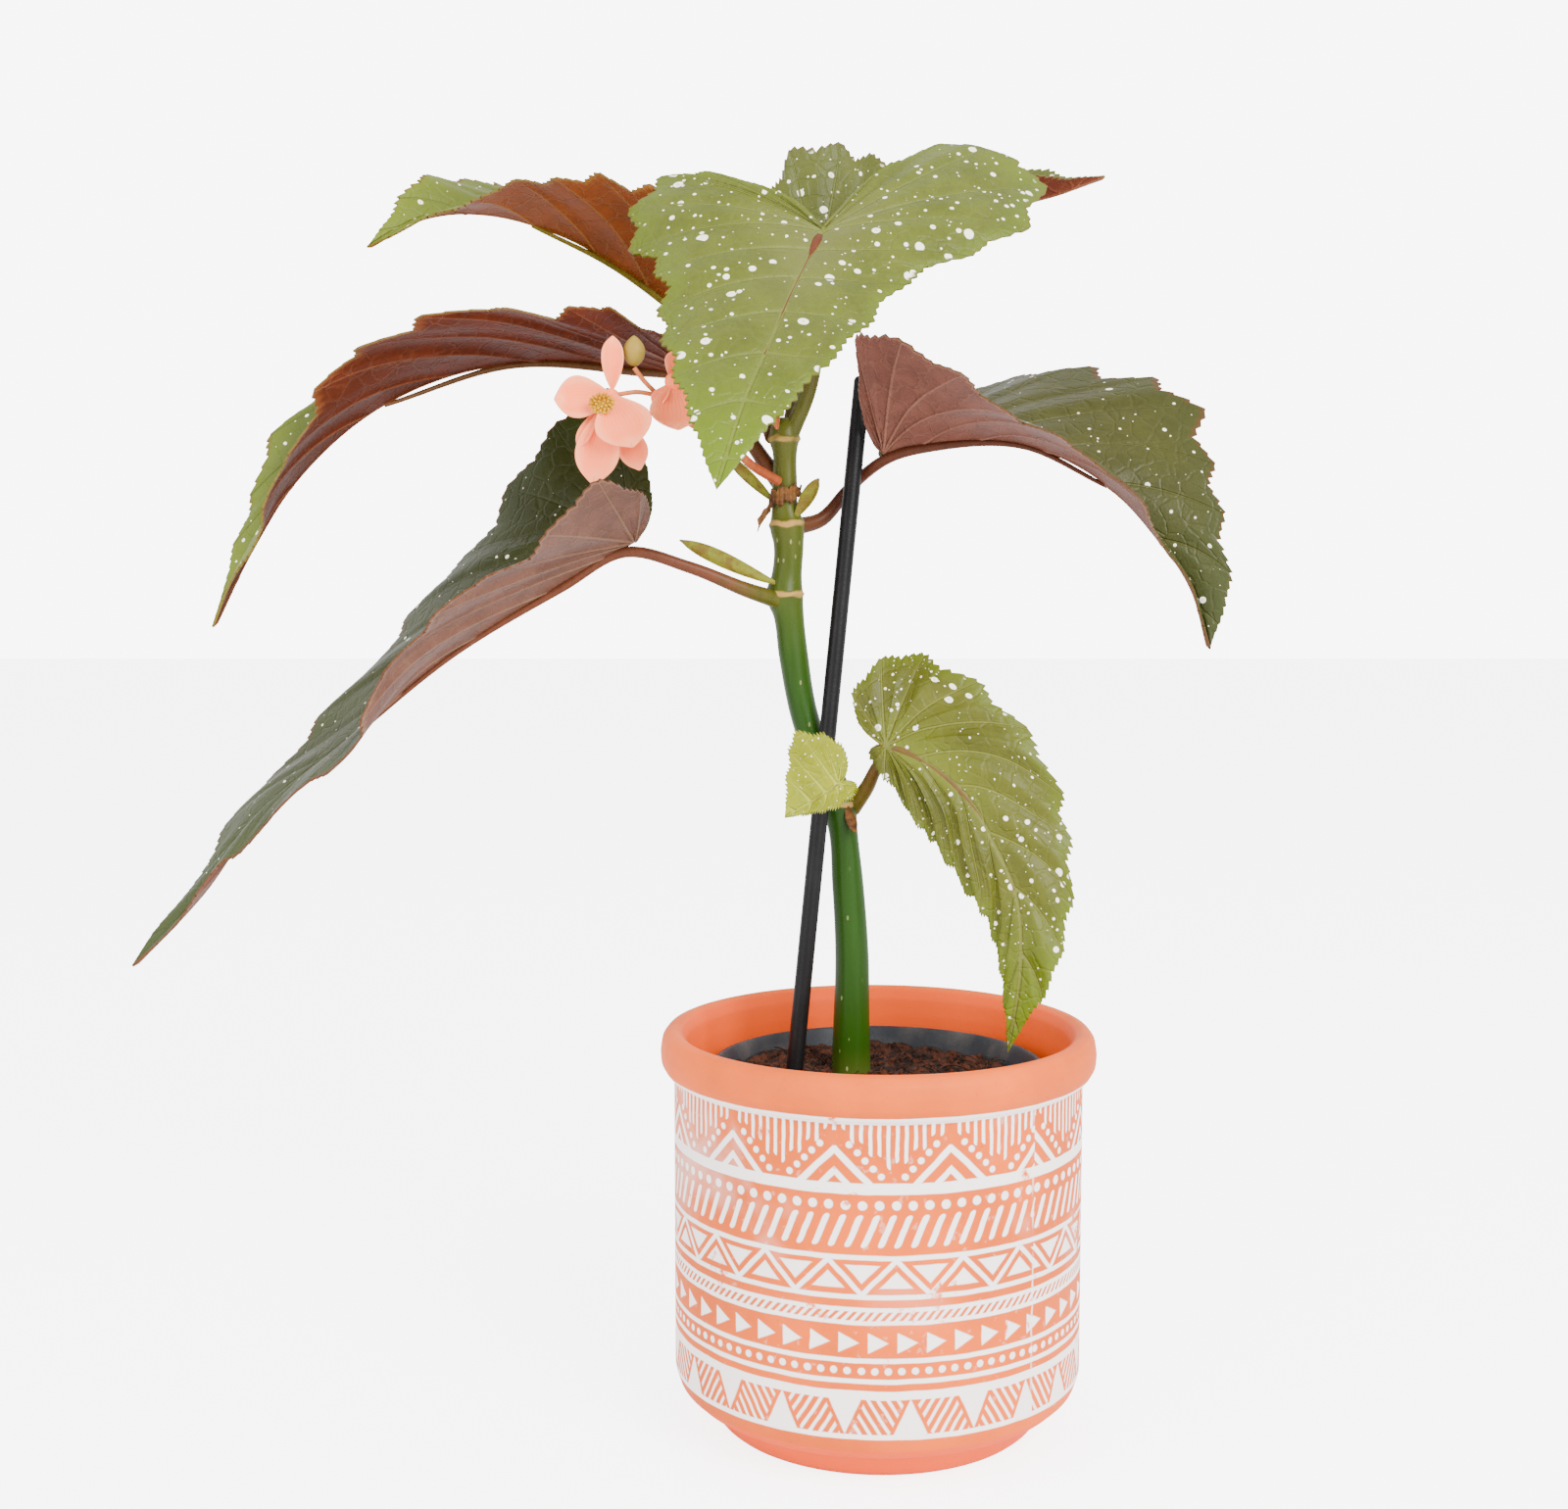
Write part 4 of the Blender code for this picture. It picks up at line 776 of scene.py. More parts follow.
def tube_mesh(line, sides, first=0, radius=None):
    """Rings of points along rows of (x, y, z, radius), with closed ends."""
    line = np.asarray(line, float)
    tangent = np.gradient(line[:, :3], axis=0)
    tangent /= np.linalg.norm(tangent, axis=1, keepdims=True)
    side = np.cross(tangent[0], (0.3, 1, 0.2))
    points, rows = [], len(line)
    for k, (place, way) in enumerate(zip(line, tangent)):
        side = side - way * side.dot(way)
        side /= np.linalg.norm(side)
        over = np.cross(way, side)
        turn = 2 * math.pi * np.arange(sides) / sides
        reach = place[3] * (1 if radius is None else radius(k, turn))
        points.append(place[:3] + (np.outer(np.cos(turn) * reach, side)
                                   + np.outer(np.sin(turn) * reach, over)))
    points = np.vstack(points + [line[:1, :3], line[-1:, :3]])
    low, high, faces = rows * sides, rows * sides + 1, []
    for j in range(sides):
        n = (j + 1) % sides
        faces.append((low, n, j))
        faces.append((high, (rows - 1) * sides + j, (rows - 1) * sides + n))
        faces += [(k * sides + j, k * sides + n, (k + 1) * sides + n, (k + 1) * sides + j)
                  for k in range(rows - 1)]
    return points, [tuple(i + first for i in f) for f in faces]


def turned_mesh(profile, facets, start=0.0):
    """Points, faces and wall places (turns, height in decimetres) of a profile turned round Z."""
    points, rows, faces, wall = [], [], [], []
    for r, z in profile:
        if r == 0:
            rows.append([len(points)] * facets)
            points.append((0, 0, z))
            continue
        a = np.radians(start) + 2 * math.pi * np.arange(facets) / facets
        rows.append(list(range(len(points), len(points) + facets)))
        points += np.stack([r * np.sin(a), -r * np.cos(a), np.full(facets, float(z))], 1).tolist()
    for low, high, (_, z0), (_, z1) in zip(rows, rows[1:], profile, profile[1:]):
        for j in range(facets):
            n = (j + 1) % facets
            corners = [(low[j], j, z0), (low[n], j + 1, z0), (high[n], j + 1, z1), (high[j], j, z1)]
            face = [c for i, c in enumerate(corners) if c[0] not in [d[0] for d in corners[:i]]]
            if len(face) > 2:
                faces.append([c[0] for c in face])
                wall += [(start / 360 - 1 + c[1] / facets, c[2] / 100) for c in face]
    return np.array(points), faces, np.array(wall)


def rounded(profile, step=2.0):
    """A profile with its corners eased and its long stretches divided."""
    eased = [profile[0]]
    for before, here, after in zip(profile, profile[1:], profile[2:]):
        a, b, c = np.array(before, float), np.array(here, float), np.array(after, float)
        cut = min(0.8, 0.3 * np.linalg.norm(b - a), 0.3 * np.linalg.norm(c - b))
        p, q = b + (a - b) / np.linalg.norm(a - b) * cut, b + (c - b) / np.linalg.norm(c - b) * cut
        eased += [tuple(p), tuple((p + 2 * b + q) / 4), tuple(q)]
    eased.append(profile[-1])
    fine = [eased[0]]
    for a, b in zip(eased, eased[1:]):
        count = max(1, int(np.hypot(b[0] - a[0], b[1] - a[1]) / step))
        fine += [(a[0] + (b[0] - a[0]) * k / count, a[1] + (b[1] - a[1]) * k / count)
                 for k in range(1, count + 1)]
    return fine


def spread(values, count):
    """A short list stretched to count even stations."""
    return np.interp(np.linspace(0, 1, count), np.linspace(0, 1, len(values)), values)


def outline(half, u):
    """Edge of a flat half blade, as shares of the leaf's length, at share u from sinus to tip."""
    back, wide, shift, full = half
    y = np.array([0, .04, .17, .42, .72, .955, 1.0, .90 * full, .70 * full, .48 * full, .265 * full,
                  .10 * full, 0])
    brow = -min(.05, .3 * back)
    x = np.array([0, -.38 * back, -.80 * back, -back, -.75 * back, brow, .14, .32, .50, .67, .82, .93, 1.0])
    x = x - shift * y * np.clip(1 - x, 0, 1)
    edge = np.stack([x, y * wide], 1)
    run = np.r_[0, np.cumsum(np.linalg.norm(np.diff(edge, axis=0), axis=1))]
    return smooth(run / run[-1], edge, u)


class Sheet:
    """Maps a flat blade onto a midrib in space, folding and curling each half."""

    def __init__(self, leaf):
        points = np.array(leaf["midrib"], float)
        line = along(points, 241)
        chord = np.r_[0, np.cumsum(np.linalg.norm(np.diff(points, axis=0), axis=1))]
        self.length = float(np.sum(np.linalg.norm(np.diff(line, axis=0), axis=1)))
        tangent = np.gradient(line, axis=0)
        tangent /= np.linalg.norm(tangent, axis=1, keepdims=True)
        behind = np.linspace(-0.5, 0, 41)[:-1]
        self.share = np.r_[behind, np.linspace(0, 1, 241)]
        self.place = np.vstack([line[0] + behind[:, None] * self.length * tangent[0], line])
        tangent = np.vstack([np.repeat(tangent[:1], 40, 0), tangent])
        normal, normals = np.array(leaf["up"], float), []
        for way in tangent:
            normal = normal - way * normal.dot(way)
            normal = normal / np.linalg.norm(normal)
            normals.append(normal)
        self.normal = np.array(normals)
        self.side = np.cross(self.normal, tangent)
        stations = np.r_[-0.18, chord / chord[-1]]
        self.angle = {}
        for key in ("fold_left", "fold_right", "curl_left", "curl_right"):
            values = spread(leaf[key], len(stations))
            self.angle[key] = np.radians(smooth(stations, values, np.clip(self.share, -0.18, 1)))

    def at(self, x, y, lift=0.0):
        """Place in mm of flat point (x, y); y is positive on the left half."""
        def pick(table):
            return np.stack([np.interp(x, self.share, table[:, k]) for k in range(3)], -1)
        left = y >= 0
        fold = np.where(left, np.interp(x, self.share, self.angle["fold_left"]),
                        np.interp(x, self.share, self.angle["fold_right"]))
        curl = np.where(left, np.interp(x, self.share, self.angle["curl_left"]),
                        np.interp(x, self.share, self.angle["curl_right"]))
        curl = np.where(np.abs(curl) < 1e-3, 1e-3, curl)
        reach = np.abs(y) / SPREAD
        out = SPREAD / curl * (np.sin(fold + curl * reach) - np.sin(fold)) * self.length
        rise = SPREAD / curl * (np.cos(fold) - np.cos(fold + curl * reach)) * self.length
        return (pick(self.place) + pick(self.side) * (np.where(left, 1, -1) * out)[..., None]
                + pick(self.normal) * (rise + lift)[..., None])


def tooth_edge(leaf, u):
    """Growth of the outline by its large teeth, and reach in mm of the small ones."""
    phase = u * leaf["teeth"]
    fade = np.minimum(1, 9 * (1 - u)) * np.minimum(1, 12 * u)
    large = 1 - 4 * np.abs(np.mod(phase, 1) - 0.5)
    number = np.floor(phase * SMALL_TEETH)
    uneven = 0.55 + 0.9 * np.mod(np.abs(np.sin(number * 12.9898 + leaf["seed"] * 78.2)) * 43.7, 1)
    small = (np.mod(phase * SMALL_TEETH + 1e-6, 1) * 1.5 - 0.5) * 1.25 * uneven * fade
    return 1 + 0.045 * large * fade + 0.02 * np.sin(u * 23 + leaf["seed"]), small


def half_blade(leaf, side, length):
    """Flat places of one half with each point's distance from a vein, in mm."""
    half = leaf["left"] if side > 0 else leaf["right"]
    rows = leaf["teeth"] * VEIN_ROWS
    u = np.arange(1, rows) / rows
    t = np.linspace(0, 1, COLUMNS)
    end = outline(half, u)
    run = np.clip((u - FAN) / (1 - FAN), 0, 1)
    start = run ** 1.25
    grow, small = tooth_edge(leaf, u)
    reach = np.hypot(end[:, 0] - start, end[:, 1]) * length
    grow = grow + small / np.maximum(reach, 6)
    ex, ey = start + (end[:, 0] - start) * grow, end[:, 1] * grow
    bow = 0.35 * np.minimum(1, run * 4) * (run > 0)
    x = start[:, None] * (1 - t) + ex[:, None] * t + ((ex - start) * bow)[:, None] * (t * t - t)
    y = ey[:, None] * t
    row = np.arange(1, rows)
    vein_row = np.clip(row // VEIN_ROWS * VEIN_ROWS + VEIN_ROWS // 2, 1, rows - 1) - 1
    gap = np.hypot(x - x[vein_row], y - y[vein_row]) * length
    return u, t, start, x, y, np.minimum(gap, y * length)


def ripple(leaf, side, u, t, length):
    """Height in mm of the soft waves that grow towards the edge."""
    phase = leaf["seed"] * 1.7 + side
    wave = 0.6 * np.sin(2 * math.pi * 2.6 * u + phase) + 0.4 * np.sin(2 * math.pi * 6.1 * u + 2 * phase)
    return 0.016 * length * wave[:, None] * (t**2)[None, :] * np.minimum(1, 6 * (1 - u))[:, None]


def blade_surface(leaf, sheet):
    """Middle surface of the blade: points, upward faces, flat places and (vein mm, edge, tip) per point."""
    length = sheet.length
    points = [sheet.at(np.zeros(1), np.zeros(1))[0], sheet.at(np.ones(1), np.zeros(1))[0]]
    flat, data, faces, middle = [(0, 0), (1, 0)], [(0, 0, 0), (0, 1, 1)], [], {}
    for side in (1, -1):
        u, t, start, x, y, vein = half_blade(leaf, side, length)
        grid = sheet.at(x, np.where(y == 0, 1e-9, y) * side, ripple(leaf, side, u, t, length))
        index = np.zeros(x.shape, int)
        for i in range(len(u)):
            for j in range(len(t)):
                if j == 0 and start[i] == 0:
                    index[i, j] = 0
                elif j == 0 and side < 0:
                    index[i, j] = middle[i]
                else:
                    index[i, j] = len(points)
                    points.append(grid[i, j])
                    flat.append((x[i, j], y[i, j] * side))
                    data.append((vein[i, j], t[j], np.clip(x[i, j], 0, 1)))
            middle.setdefault(i, index[i, 0])
        for i in range(len(u)):
            for j in range(len(t) - 1):
                a, b = index[i, j], index[i, j + 1]
                c, d = (index[i + 1, j + 1], index[i + 1, j]) if i < len(u) - 1 else (1, 1)
                face = list(dict.fromkeys((a, d, c, b)))
                if len(face) > 2:
                    faces.append(face if side > 0 else face[::-1])
    return np.array(points), faces, np.array(flat), np.array(data)


def point_normals(points, faces):
    normal = np.zeros_like(points)
    for size in (3, 4):
        group = np.array([f for f in faces if len(f) == size])
        if len(group):
            corner = points[group]
            face_normal = np.cross(corner[:, 2] - corner[:, 0], corner[:, -1] - corner[:, 1] if size == 4
                                   else corner[:, 0] - corner[:, 1])
            for k in range(size):
                np.add.at(normal, group[:, k], face_normal)
    return normal / np.maximum(np.linalg.norm(normal, axis=1, keepdims=True), 1e-9)


def leaf_object(name, leaf, settings, groups):
    """Leaf with both skins, its edge and its stalk, in three materials."""
    sheet = Sheet(leaf)
    points, faces, flat, data = blade_surface(leaf, sheet)
    normal = point_normals(points, faces)
    vein, edge, tip = data.T
    young = sheet.length < 60
    pucker = settings.pucker * (2.4 if name in ("leaf_young", "leaf_bud") else 1.0) * (0.35 if young else 1)
    swell = pucker * (1 - np.exp(-(vein / 4.5) ** 2)) * np.sin(math.pi * np.clip(edge, 0, 1)) ** 0.6
    swell -= 0.3 * np.exp(-(vein / 0.8) ** 2) * (1 - edge)
    ridge = 0.55 * np.exp(-(vein / 0.8) ** 2) * (1 - 0.8 * edge) * np.minimum(1, edge * 12)
    half = settings.thickness / MM / 2
    top = points + normal * (swell + half)[:, None]
    low = points + normal * (swell - half - ridge * (0.3 if young else 1))[:, None]
    count = len(points)
    skin = closed(faces, count)
    slots = [0] * len(faces) + [1] * len(faces) + [0] * (len(skin) - 2 * len(faces))
    stalk, stalk_faces, share = stalk_mesh(leaf, sheet, young, 2 * count)
    everything = np.vstack([top, low, stalk])
    places = np.vstack([flat, flat, np.zeros((len(stalk), 2))]) * sheet.length / 100 + leaf["seed"] * 3.0
    values = np.vstack([data, data, np.column_stack([np.zeros((len(stalk), 2)), share])])
    materials = leaf_materials(name, groups)
    made = mesh_object(name + "_fine", everything, skin + stalk_faces, materials,
                       slots + [2] * len(stalk_faces), ("Blade", places), values, crease=50)
    return keep(made, "leaf_blade", name)


def stalk_mesh(leaf, sheet, young, first):
    """Petiole that runs on under the midrib as a tapering rib."""
    stations = np.array([0.02, 0.13, 0.32, 0.55])
    thin = np.array([1.9, 1.6, 1.1, 0.7]) * (0.6 if young else 1)
    rib = sheet.at(stations, np.full(4, 1e-9), 0.15 - thin)
    stalk = np.array(leaf["stalk"], float)
    wide = np.linspace(3.2, 2.1, len(stalk)) * (0.5 if young else 1)
    path = along(np.vstack([np.column_stack([stalk, wide]), np.column_stack([rib, thin])]), 60)
    points, faces = tube_mesh(path, 14, first)
    bare = np.linalg.norm(stalk[-1] - stalk[0]) / np.linalg.norm(np.diff(path[:, :3], axis=0), axis=1).sum()
    share = np.r_[np.repeat(np.linspace(0, 1, 60), 14), 0, 1]
    return points, faces, np.clip(share / max(bare, 0.05), 0, 1)


def leaf_materials(name, groups):
    upper, upper_tip, heart, under, under_tip, ribs, foot, end = [linear(c) for c in LEAF_COLOURS[name]]
    scale, share, size, veins, margin = LEAF_SPOTS[name]
    label = name.replace("leaf_", "").replace("_", " ")
    return [
        skin_material(f"Upper face, {label}", groups["upper"], {
            "Green": upper, "Tip Green": upper_tip, "Heart Green": heart, "Spot Scale": scale,
            "Spot Share": share, "Spot Size": size, "Vein Share": veins, "Margin Red": margin}, bump=0.0004),
        skin_material(f"Underside, {label}", groups["under"], {"Red": under, "Tip Red": under_tip,
                                                               "Vein Color": ribs}, bump=0.0004),
        skin_material(f"Stalk, {label}", groups["stalk"], {"Foot Color": foot, "End Color": end},
                      bump=0.0002)]


def petal_mesh(foot, tip, wide, look, cup, notch, rows=22, columns=19, thick=0.45, seed=0):
    """Closed cupped petal with a rounded tip and a soft wave, and its (across, along) places."""
    foot, tip, look = (np.array(v, float) for v in (foot, tip, look))
    way = tip - foot
    length = np.linalg.norm(way)
    way /= length
    look = look - way * look.dot(way)
    look /= np.linalg.norm(look)
    side = np.cross(way, look)
    bend = math.radians(cup)
    s = (0.04 + 0.9585 * np.sin(math.pi / 2 * np.linspace(0, 1, rows)))[:, None]
    c = np.linspace(-1, 1, columns)[None, :]
    half = wide * 1.4 * s ** 0.45 * np.sqrt(1 - s ** 3)
    turn = bend * c * half / wide
    reach = length * s * (1 - notch * np.exp(-(c / 0.3) ** 2) * s ** 6)
    rise = half * (1 - np.cos(turn)) / max(abs(bend), 0.1) + 0.12 * length * (s - 0.5) ** 2
    rise = rise + 0.25 * np.sin(3 * c + seed + 4 * s) * s * np.abs(c) ** 2
    aside = half * np.sin(turn) / math.sin(bend)
    grid = (foot + way * reach[..., None] + side * aside[..., None] + look * rise[..., None]).reshape(-1, 3)
    faces = grid_faces(rows, columns)
    normal = point_normals(grid, faces)
    points = np.vstack([grid + normal * thick / 2, grid - normal * thick / 2])
    flat = np.stack(np.broadcast_arrays(c, s), -1).reshape(-1, 2)
    return points, closed(faces, len(grid)), np.vstack([flat, flat])


def joined(parts):
    """Several (points, faces, places) meshes as one."""
    points, faces, places, first = [], [], [], 0
    for one_points, one_faces, one_places in parts:
        points.append(one_points)
        places.append(one_places)
        faces += [[k + first for k in f] for f in one_faces]
        first += len(one_points)
    return np.vstack(points), faces, np.vstack(places)


def ball_mesh(centre, radii, rings=12, sides=16, point=0.0):
    profile = [(math.sin(math.pi * k / rings), -math.cos(math.pi * k / rings)) for k in range(rings + 1)]
    profile = [(r * (1 - point * max(0, z) ** 2), z) for r, z in profile]
    profile[0], profile[-1] = (0, -1), (0, 1)
    points, faces, _ = turned_mesh(profile, sides)
    return points * np.array(radii) + np.array(centre), faces, np.zeros((len(points), 2))


def stamen_nodes():
    """Geometry nodes that stand a small club-shaped stamen on every point of the piece."""
    g, given = shape_group("Stamens on points", (
        ("Head Radius", NUMBER, 0.0005), ("Stalk Radius", NUMBER, 0.00016), ("Length", NUMBER, 0.0022)))
    head = g.build("GeometryNodeMeshUVSphere", {"Segments": 8, "Rings": 6, "Radius": given["Head Radius"]})
    up = g.build("ShaderNodeCombineXYZ", {"Z": given["Length"]})
    lift = g.build("GeometryNodeTransform", {"Geometry": head, "Translation": up, "Scale": (0.8, 0.8, 1.5)})
    shaft = g.build("GeometryNodeMeshCylinder", {
        "Vertices": 6, "Radius": given["Stalk Radius"], "Depth": given["Length"]})
    normal = g.node("GeometryNodeInputNormal").outputs[0]
    aim = g.build("FunctionNodeAlignRotationToVector", {"Vector": normal}, axis="Z")
    put = g.build("GeometryNodeInstanceOnPoints", {
        "Points": given["Geometry"], "Instance": g.join(lift, shaft), "Rotation": aim})
    grown_heads = g.join(g.build("GeometryNodeRealizeInstances", {0: put}), given["Geometry"])
    return g.finish(g.build("GeometryNodeSetMaterial", {
        "Geometry": grown_heads, "Material": given["Material"]}))


def litter_nodes():
    """Geometry nodes that strew crumbs and curved fibres over a surface."""
    g, given = shape_group("Potting mix litter", (
        ("Crumb Density", NUMBER, 90000.0), ("Crumb Radius", NUMBER, 0.0011),
        ("Fibre Density", NUMBER, 9000.0), ("Fibre Length", NUMBER, 0.009),
        ("Fibre Radius", NUMBER, 0.00022), ("Seed", WHOLE, 3)))

    def strewn(density, shape, low, high, tilt):
        points = g.build("GeometryNodeDistributePointsOnFaces", {
            "Mesh": given["Geometry"], "Density": given[density], "Seed": given["Seed"]}, "Points")
        size = g.build("FunctionNodeRandomValue", {"Min": low, "Max": high}, "Value",
                       data_type="FLOAT_VECTOR")
        turn = g.build("FunctionNodeRandomValue", {
            "Min": (-tilt, -tilt, -math.pi), "Max": (tilt, tilt, math.pi)}, "Value", data_type="FLOAT_VECTOR")
        put = g.build("GeometryNodeInstanceOnPoints", {
            "Points": points, "Instance": shape, "Scale": size, "Rotation": turn})
        return g.build("GeometryNodeRealizeInstances", {0: put})

    crumb = g.build("GeometryNodeMeshIcoSphere", {"Subdivisions": 1, "Radius": given["Crumb Radius"]}, "Mesh")
    crumbs = strewn("Crumb Density", crumb, (0.5, 0.4, 0.4), (1.9, 1.2, 1.2), math.pi)
    arc = g.build("GeometryNodeCurveQuadraticBezier", {
        "Resolution": 7, "Start": (-0.5, 0, -0.1), "Middle": (0.0, 0.3, 0.35), "End": (0.5, 0, 0.05)})
    line = g.build("GeometryNodeTransform", {"Geometry": arc, "Scale": given["Fibre Length"]})
    ring = g.build("GeometryNodeCurvePrimitiveCircle", {"Resolution": 5, "Radius": given["Fibre Radius"]})
    rod = g.build("GeometryNodeCurveToMesh", {"Curve": line, "Profile Curve": ring, "Fill Caps": True})
    fibres = strewn("Fibre Density", rod, (0.5, 0.5, 0.5), (1.3, 1.3, 1.3), 0.6)
    return g.finish(g.build("GeometryNodeSetMaterial", {
        "Geometry": g.join(crumbs, fibres, given["Geometry"]), "Material": given["Material"]}))


def grown(obj, tree, values):
    """Runs a geometry node tree on obj and keeps the result as a plain mesh."""
    modifier = obj.modifiers.new("grow", "NODES")
    modifier.node_group = tree
    for item in tree.interface.items_tree:
        if item.item_type == "SOCKET" and item.in_out == "INPUT" and item.name in values:
            modifier[item.identifier] = values[item.name]
    bpy.context.view_layer.update()
    result = bpy.data.meshes.new_from_object(obj.evaluated_get(bpy.context.evaluated_depsgraph_get()))
    obj.modifiers.clear()
    obj.data = result
    return obj


class BegoniaPotSettings(bpy.types.PropertyGroup):
    facets: IntProperty(name="Facets", description="Flat strips round each pot", default=192, min=24)
    clay: FloatVectorProperty(name="Clay", description="Colour of the fired clay", size=3,
                              default=linear((219, 92, 18)), min=0, max=1, subtype="COLOR")
    paint: FloatVectorProperty(name="Paint", description="Colour of the white pattern", size=3,
                               default=linear((250, 244, 238)), min=0, max=1, subtype="COLOR")
    inner: FloatVectorProperty(name="Inner clay", description="Colour inside the rim", size=3,
                               default=linear((228, 78, 10)), min=0, max=1, subtype="COLOR")
    wear: FloatProperty(name="Wear", description="How much of the pattern has rubbed off", default=0.3,
                        min=0, max=1, subtype="FACTOR")
    plastic: FloatVectorProperty(name="Nursery pot", description="Colour of the inner plastic pot", size=3,
                                 default=linear((38, 41, 45)), min=0, max=1, subtype="COLOR")


class BegoniaSoilSettings(bpy.types.PropertyGroup):
    dark: FloatVectorProperty(name="Dark", description="Darkest brown of the potting mix", size=3,
                              default=linear((28, 15, 9)), min=0, max=1, subtype="COLOR")
    light: FloatVectorProperty(name="Light", description="Lightest brown of the potting mix", size=3,
                               default=linear((84, 43, 23)), min=0, max=1, subtype="COLOR")
    crumb: FloatProperty(name="Crumb radius", description="Mean radius of a crumb", default=0.0011,
                         min=0.0003, unit="LENGTH")
    fibre: FloatProperty(name="Fibre length", description="Mean length of a fibre", default=0.009,
                         min=0.002, unit="LENGTH")
    seed: IntProperty(name="Seed", description="Number that places the crumbs", default=3)


class BegoniaPlantSettings(bpy.types.PropertyGroup):
    thickness: FloatProperty(name="Blade thickness", description="Thickness of a leaf blade",
                             default=0.0007, min=0.0003, unit="LENGTH")
    pucker: FloatProperty(name="Pucker", description="Height of the swelling between veins, mm",
                          default=0.7, min=0)
    cane_low: FloatVectorProperty(name="Cane, below", description="Green of the lower cane", size=3,
                                  default=linear((28, 58, 3)), min=0, max=1, subtype="COLOR")
    cane_high: FloatVectorProperty(name="Cane, above", description="Green of the upper cane", size=3,
                                   default=linear((66, 68, 16)), min=0, max=1, subtype="COLOR")
    stake: FloatVectorProperty(name="Stake", description="Colour of the support stake", size=3,
                               default=linear((10, 9, 10)), min=0, max=1, subtype="COLOR")


class BegoniaFlowerSettings(bpy.types.PropertyGroup):
    heart: FloatVectorProperty(name="Petal heart", description="Deeper colour of the petals", size=3,
                               default=linear((252, 112, 62)), min=0, max=1, subtype="COLOR")
    rim: FloatVectorProperty(name="Petal rim", description="Paler colour at the petals' rims", size=3,
                             default=linear((255, 156, 110)), min=0, max=1, subtype="COLOR")
    stamen: FloatVectorProperty(name="Stamens", description="Colour of the stamens", size=3,
                                default=linear((196, 150, 6)), min=0, max=1, subtype="COLOR")
    stamens: IntProperty(name="Stamen count", description="Stamens in the open flower", default=46, min=8)


class BegoniaStageSettings(bpy.types.PropertyGroup):
    floor: FloatVectorProperty(name="Floor", description="Colour of the floor", size=3,
                               default=(0.9, 0.9, 0.91), min=0, max=1, subtype="COLOR")
    key_power: FloatProperty(name="Key light", description="Power of the main light", default=70.0,
                             min=0, unit="POWER")
    sky: FloatProperty(name="Sky", description="Strength of the even light", default=2.0, min=0)
    backdrop: FloatProperty(name="Backdrop", description="Brightness of the white behind", default=8.0,
                            min=0)
    glow: FloatProperty(name="Floor glow", description="Brightness added to the floor", default=4.5, min=0)


class BEGONIA_OT_pots(bpy.types.Operator):
    """Build the patterned cover pot and the plastic nursery pot inside it"""
    bl_idname = "begonia.pots"
    bl_label = "Pots"

    def execute(self, context):
        settings = context.scene.begonia_pot
        clay = skin_material("Patterned terracotta", pot_group(), {
            "Clay Color": settings.clay, "Paint Color": settings.paint, "Inner Color": settings.inner,
            "Wear": settings.wear}, bump=0.0003, shine=0.12)
        points, faces, wall = turned_mesh(rounded(POT_PROFILE), settings.facets, SEAM)
        keep(mesh_object("cover_pot_fine", points, faces, [clay], uv=("Wall", wall)), "terracotta",
             "outer_pot")
        plastic = skin_material("Nursery pot plastic", plastic_group(), {
            "Main Color": settings.plastic, "Dust Color": linear((120, 110, 100)), "Dust": 0.25,
            "Gloss Loss": 0.35}, bump=0.0001)
        points, faces, wall = turned_mesh(rounded(NURSERY_PROFILE), settings.facets)
        keep(mesh_object("nursery_pot_fine", points, faces, [plastic], uv=("Wall", wall)), "nursery_plastic",
             "nursery_pot")
        return {"FINISHED"}


class BEGONIA_OT_soil(bpy.types.Operator):
    """Build the potting mix with its crumbs and coir fibres"""
    bl_idname = "begonia.soil"
    bl_label = "Soil"

    def execute(self, context):
        settings = context.scene.begonia_soil
        rings = [(r, SOIL_TOP) for r in np.linspace(SOIL_RADIUS, 0, 46)[:-1]] + [(0, SOIL_TOP)]
        points, faces, wall = turned_mesh(SOIL_SIDE + rings, 144)
        for k in np.nonzero(points[:, 2] > SOIL_TOP - 1)[0]:
            x, y = points[k, :2]
            soft = 0.9 * math.sin(x * 0.19 + 1.3) * math.cos(y * 0.23) + 0.6 * math.sin(x * 0.47 - y * 0.31)
            rough = noise.fractal(Vector((x, y, 0)) * 0.22, 0.7, 2.1, 4)
            points[k, 2] += soft - 0.02 * x + 1.2 * rough
        skin = skin_material("Potting mix", soil_group(), {"Dark Color": settings.dark,
                                                           "Light Color": settings.light}, bump=0.0006)
        soil = mesh_object("potting_mix", points, faces, [skin], uv=("Wall", wall))
        keep(soil, "soil", "potting_soil")
        litter = self.patch(points, faces, skin)
        grown(litter, litter_nodes(), {"Crumb Density": CRUMBS, "Crumb Radius": settings.crumb,
                                       "Fibre Density": FIBRES, "Fibre Length": settings.fibre,
                                       "Seed": settings.seed, "Material": skin})
        keep(litter, "soil", "potting_soil")
        return {"FINISHED"}

    def patch(self, points, faces, skin):
        """The open top of the soil, on which the litter lies."""
        radius = np.hypot(points[:, 0], points[:, 1])
        open_top = (points[:, 2] > SOIL_TOP - 5) & (radius < LITTER_RADIUS)
        inner = [f for f in faces if open_top[f].all()]
        used = sorted({k for f in inner for k in f})
        order = {k: n for n, k in enumerate(used)}
        return mesh_object("soil_litter", points[used] - (0, 0, 0.3), [[order[k] for k in f] for f in inner],
                           [skin])


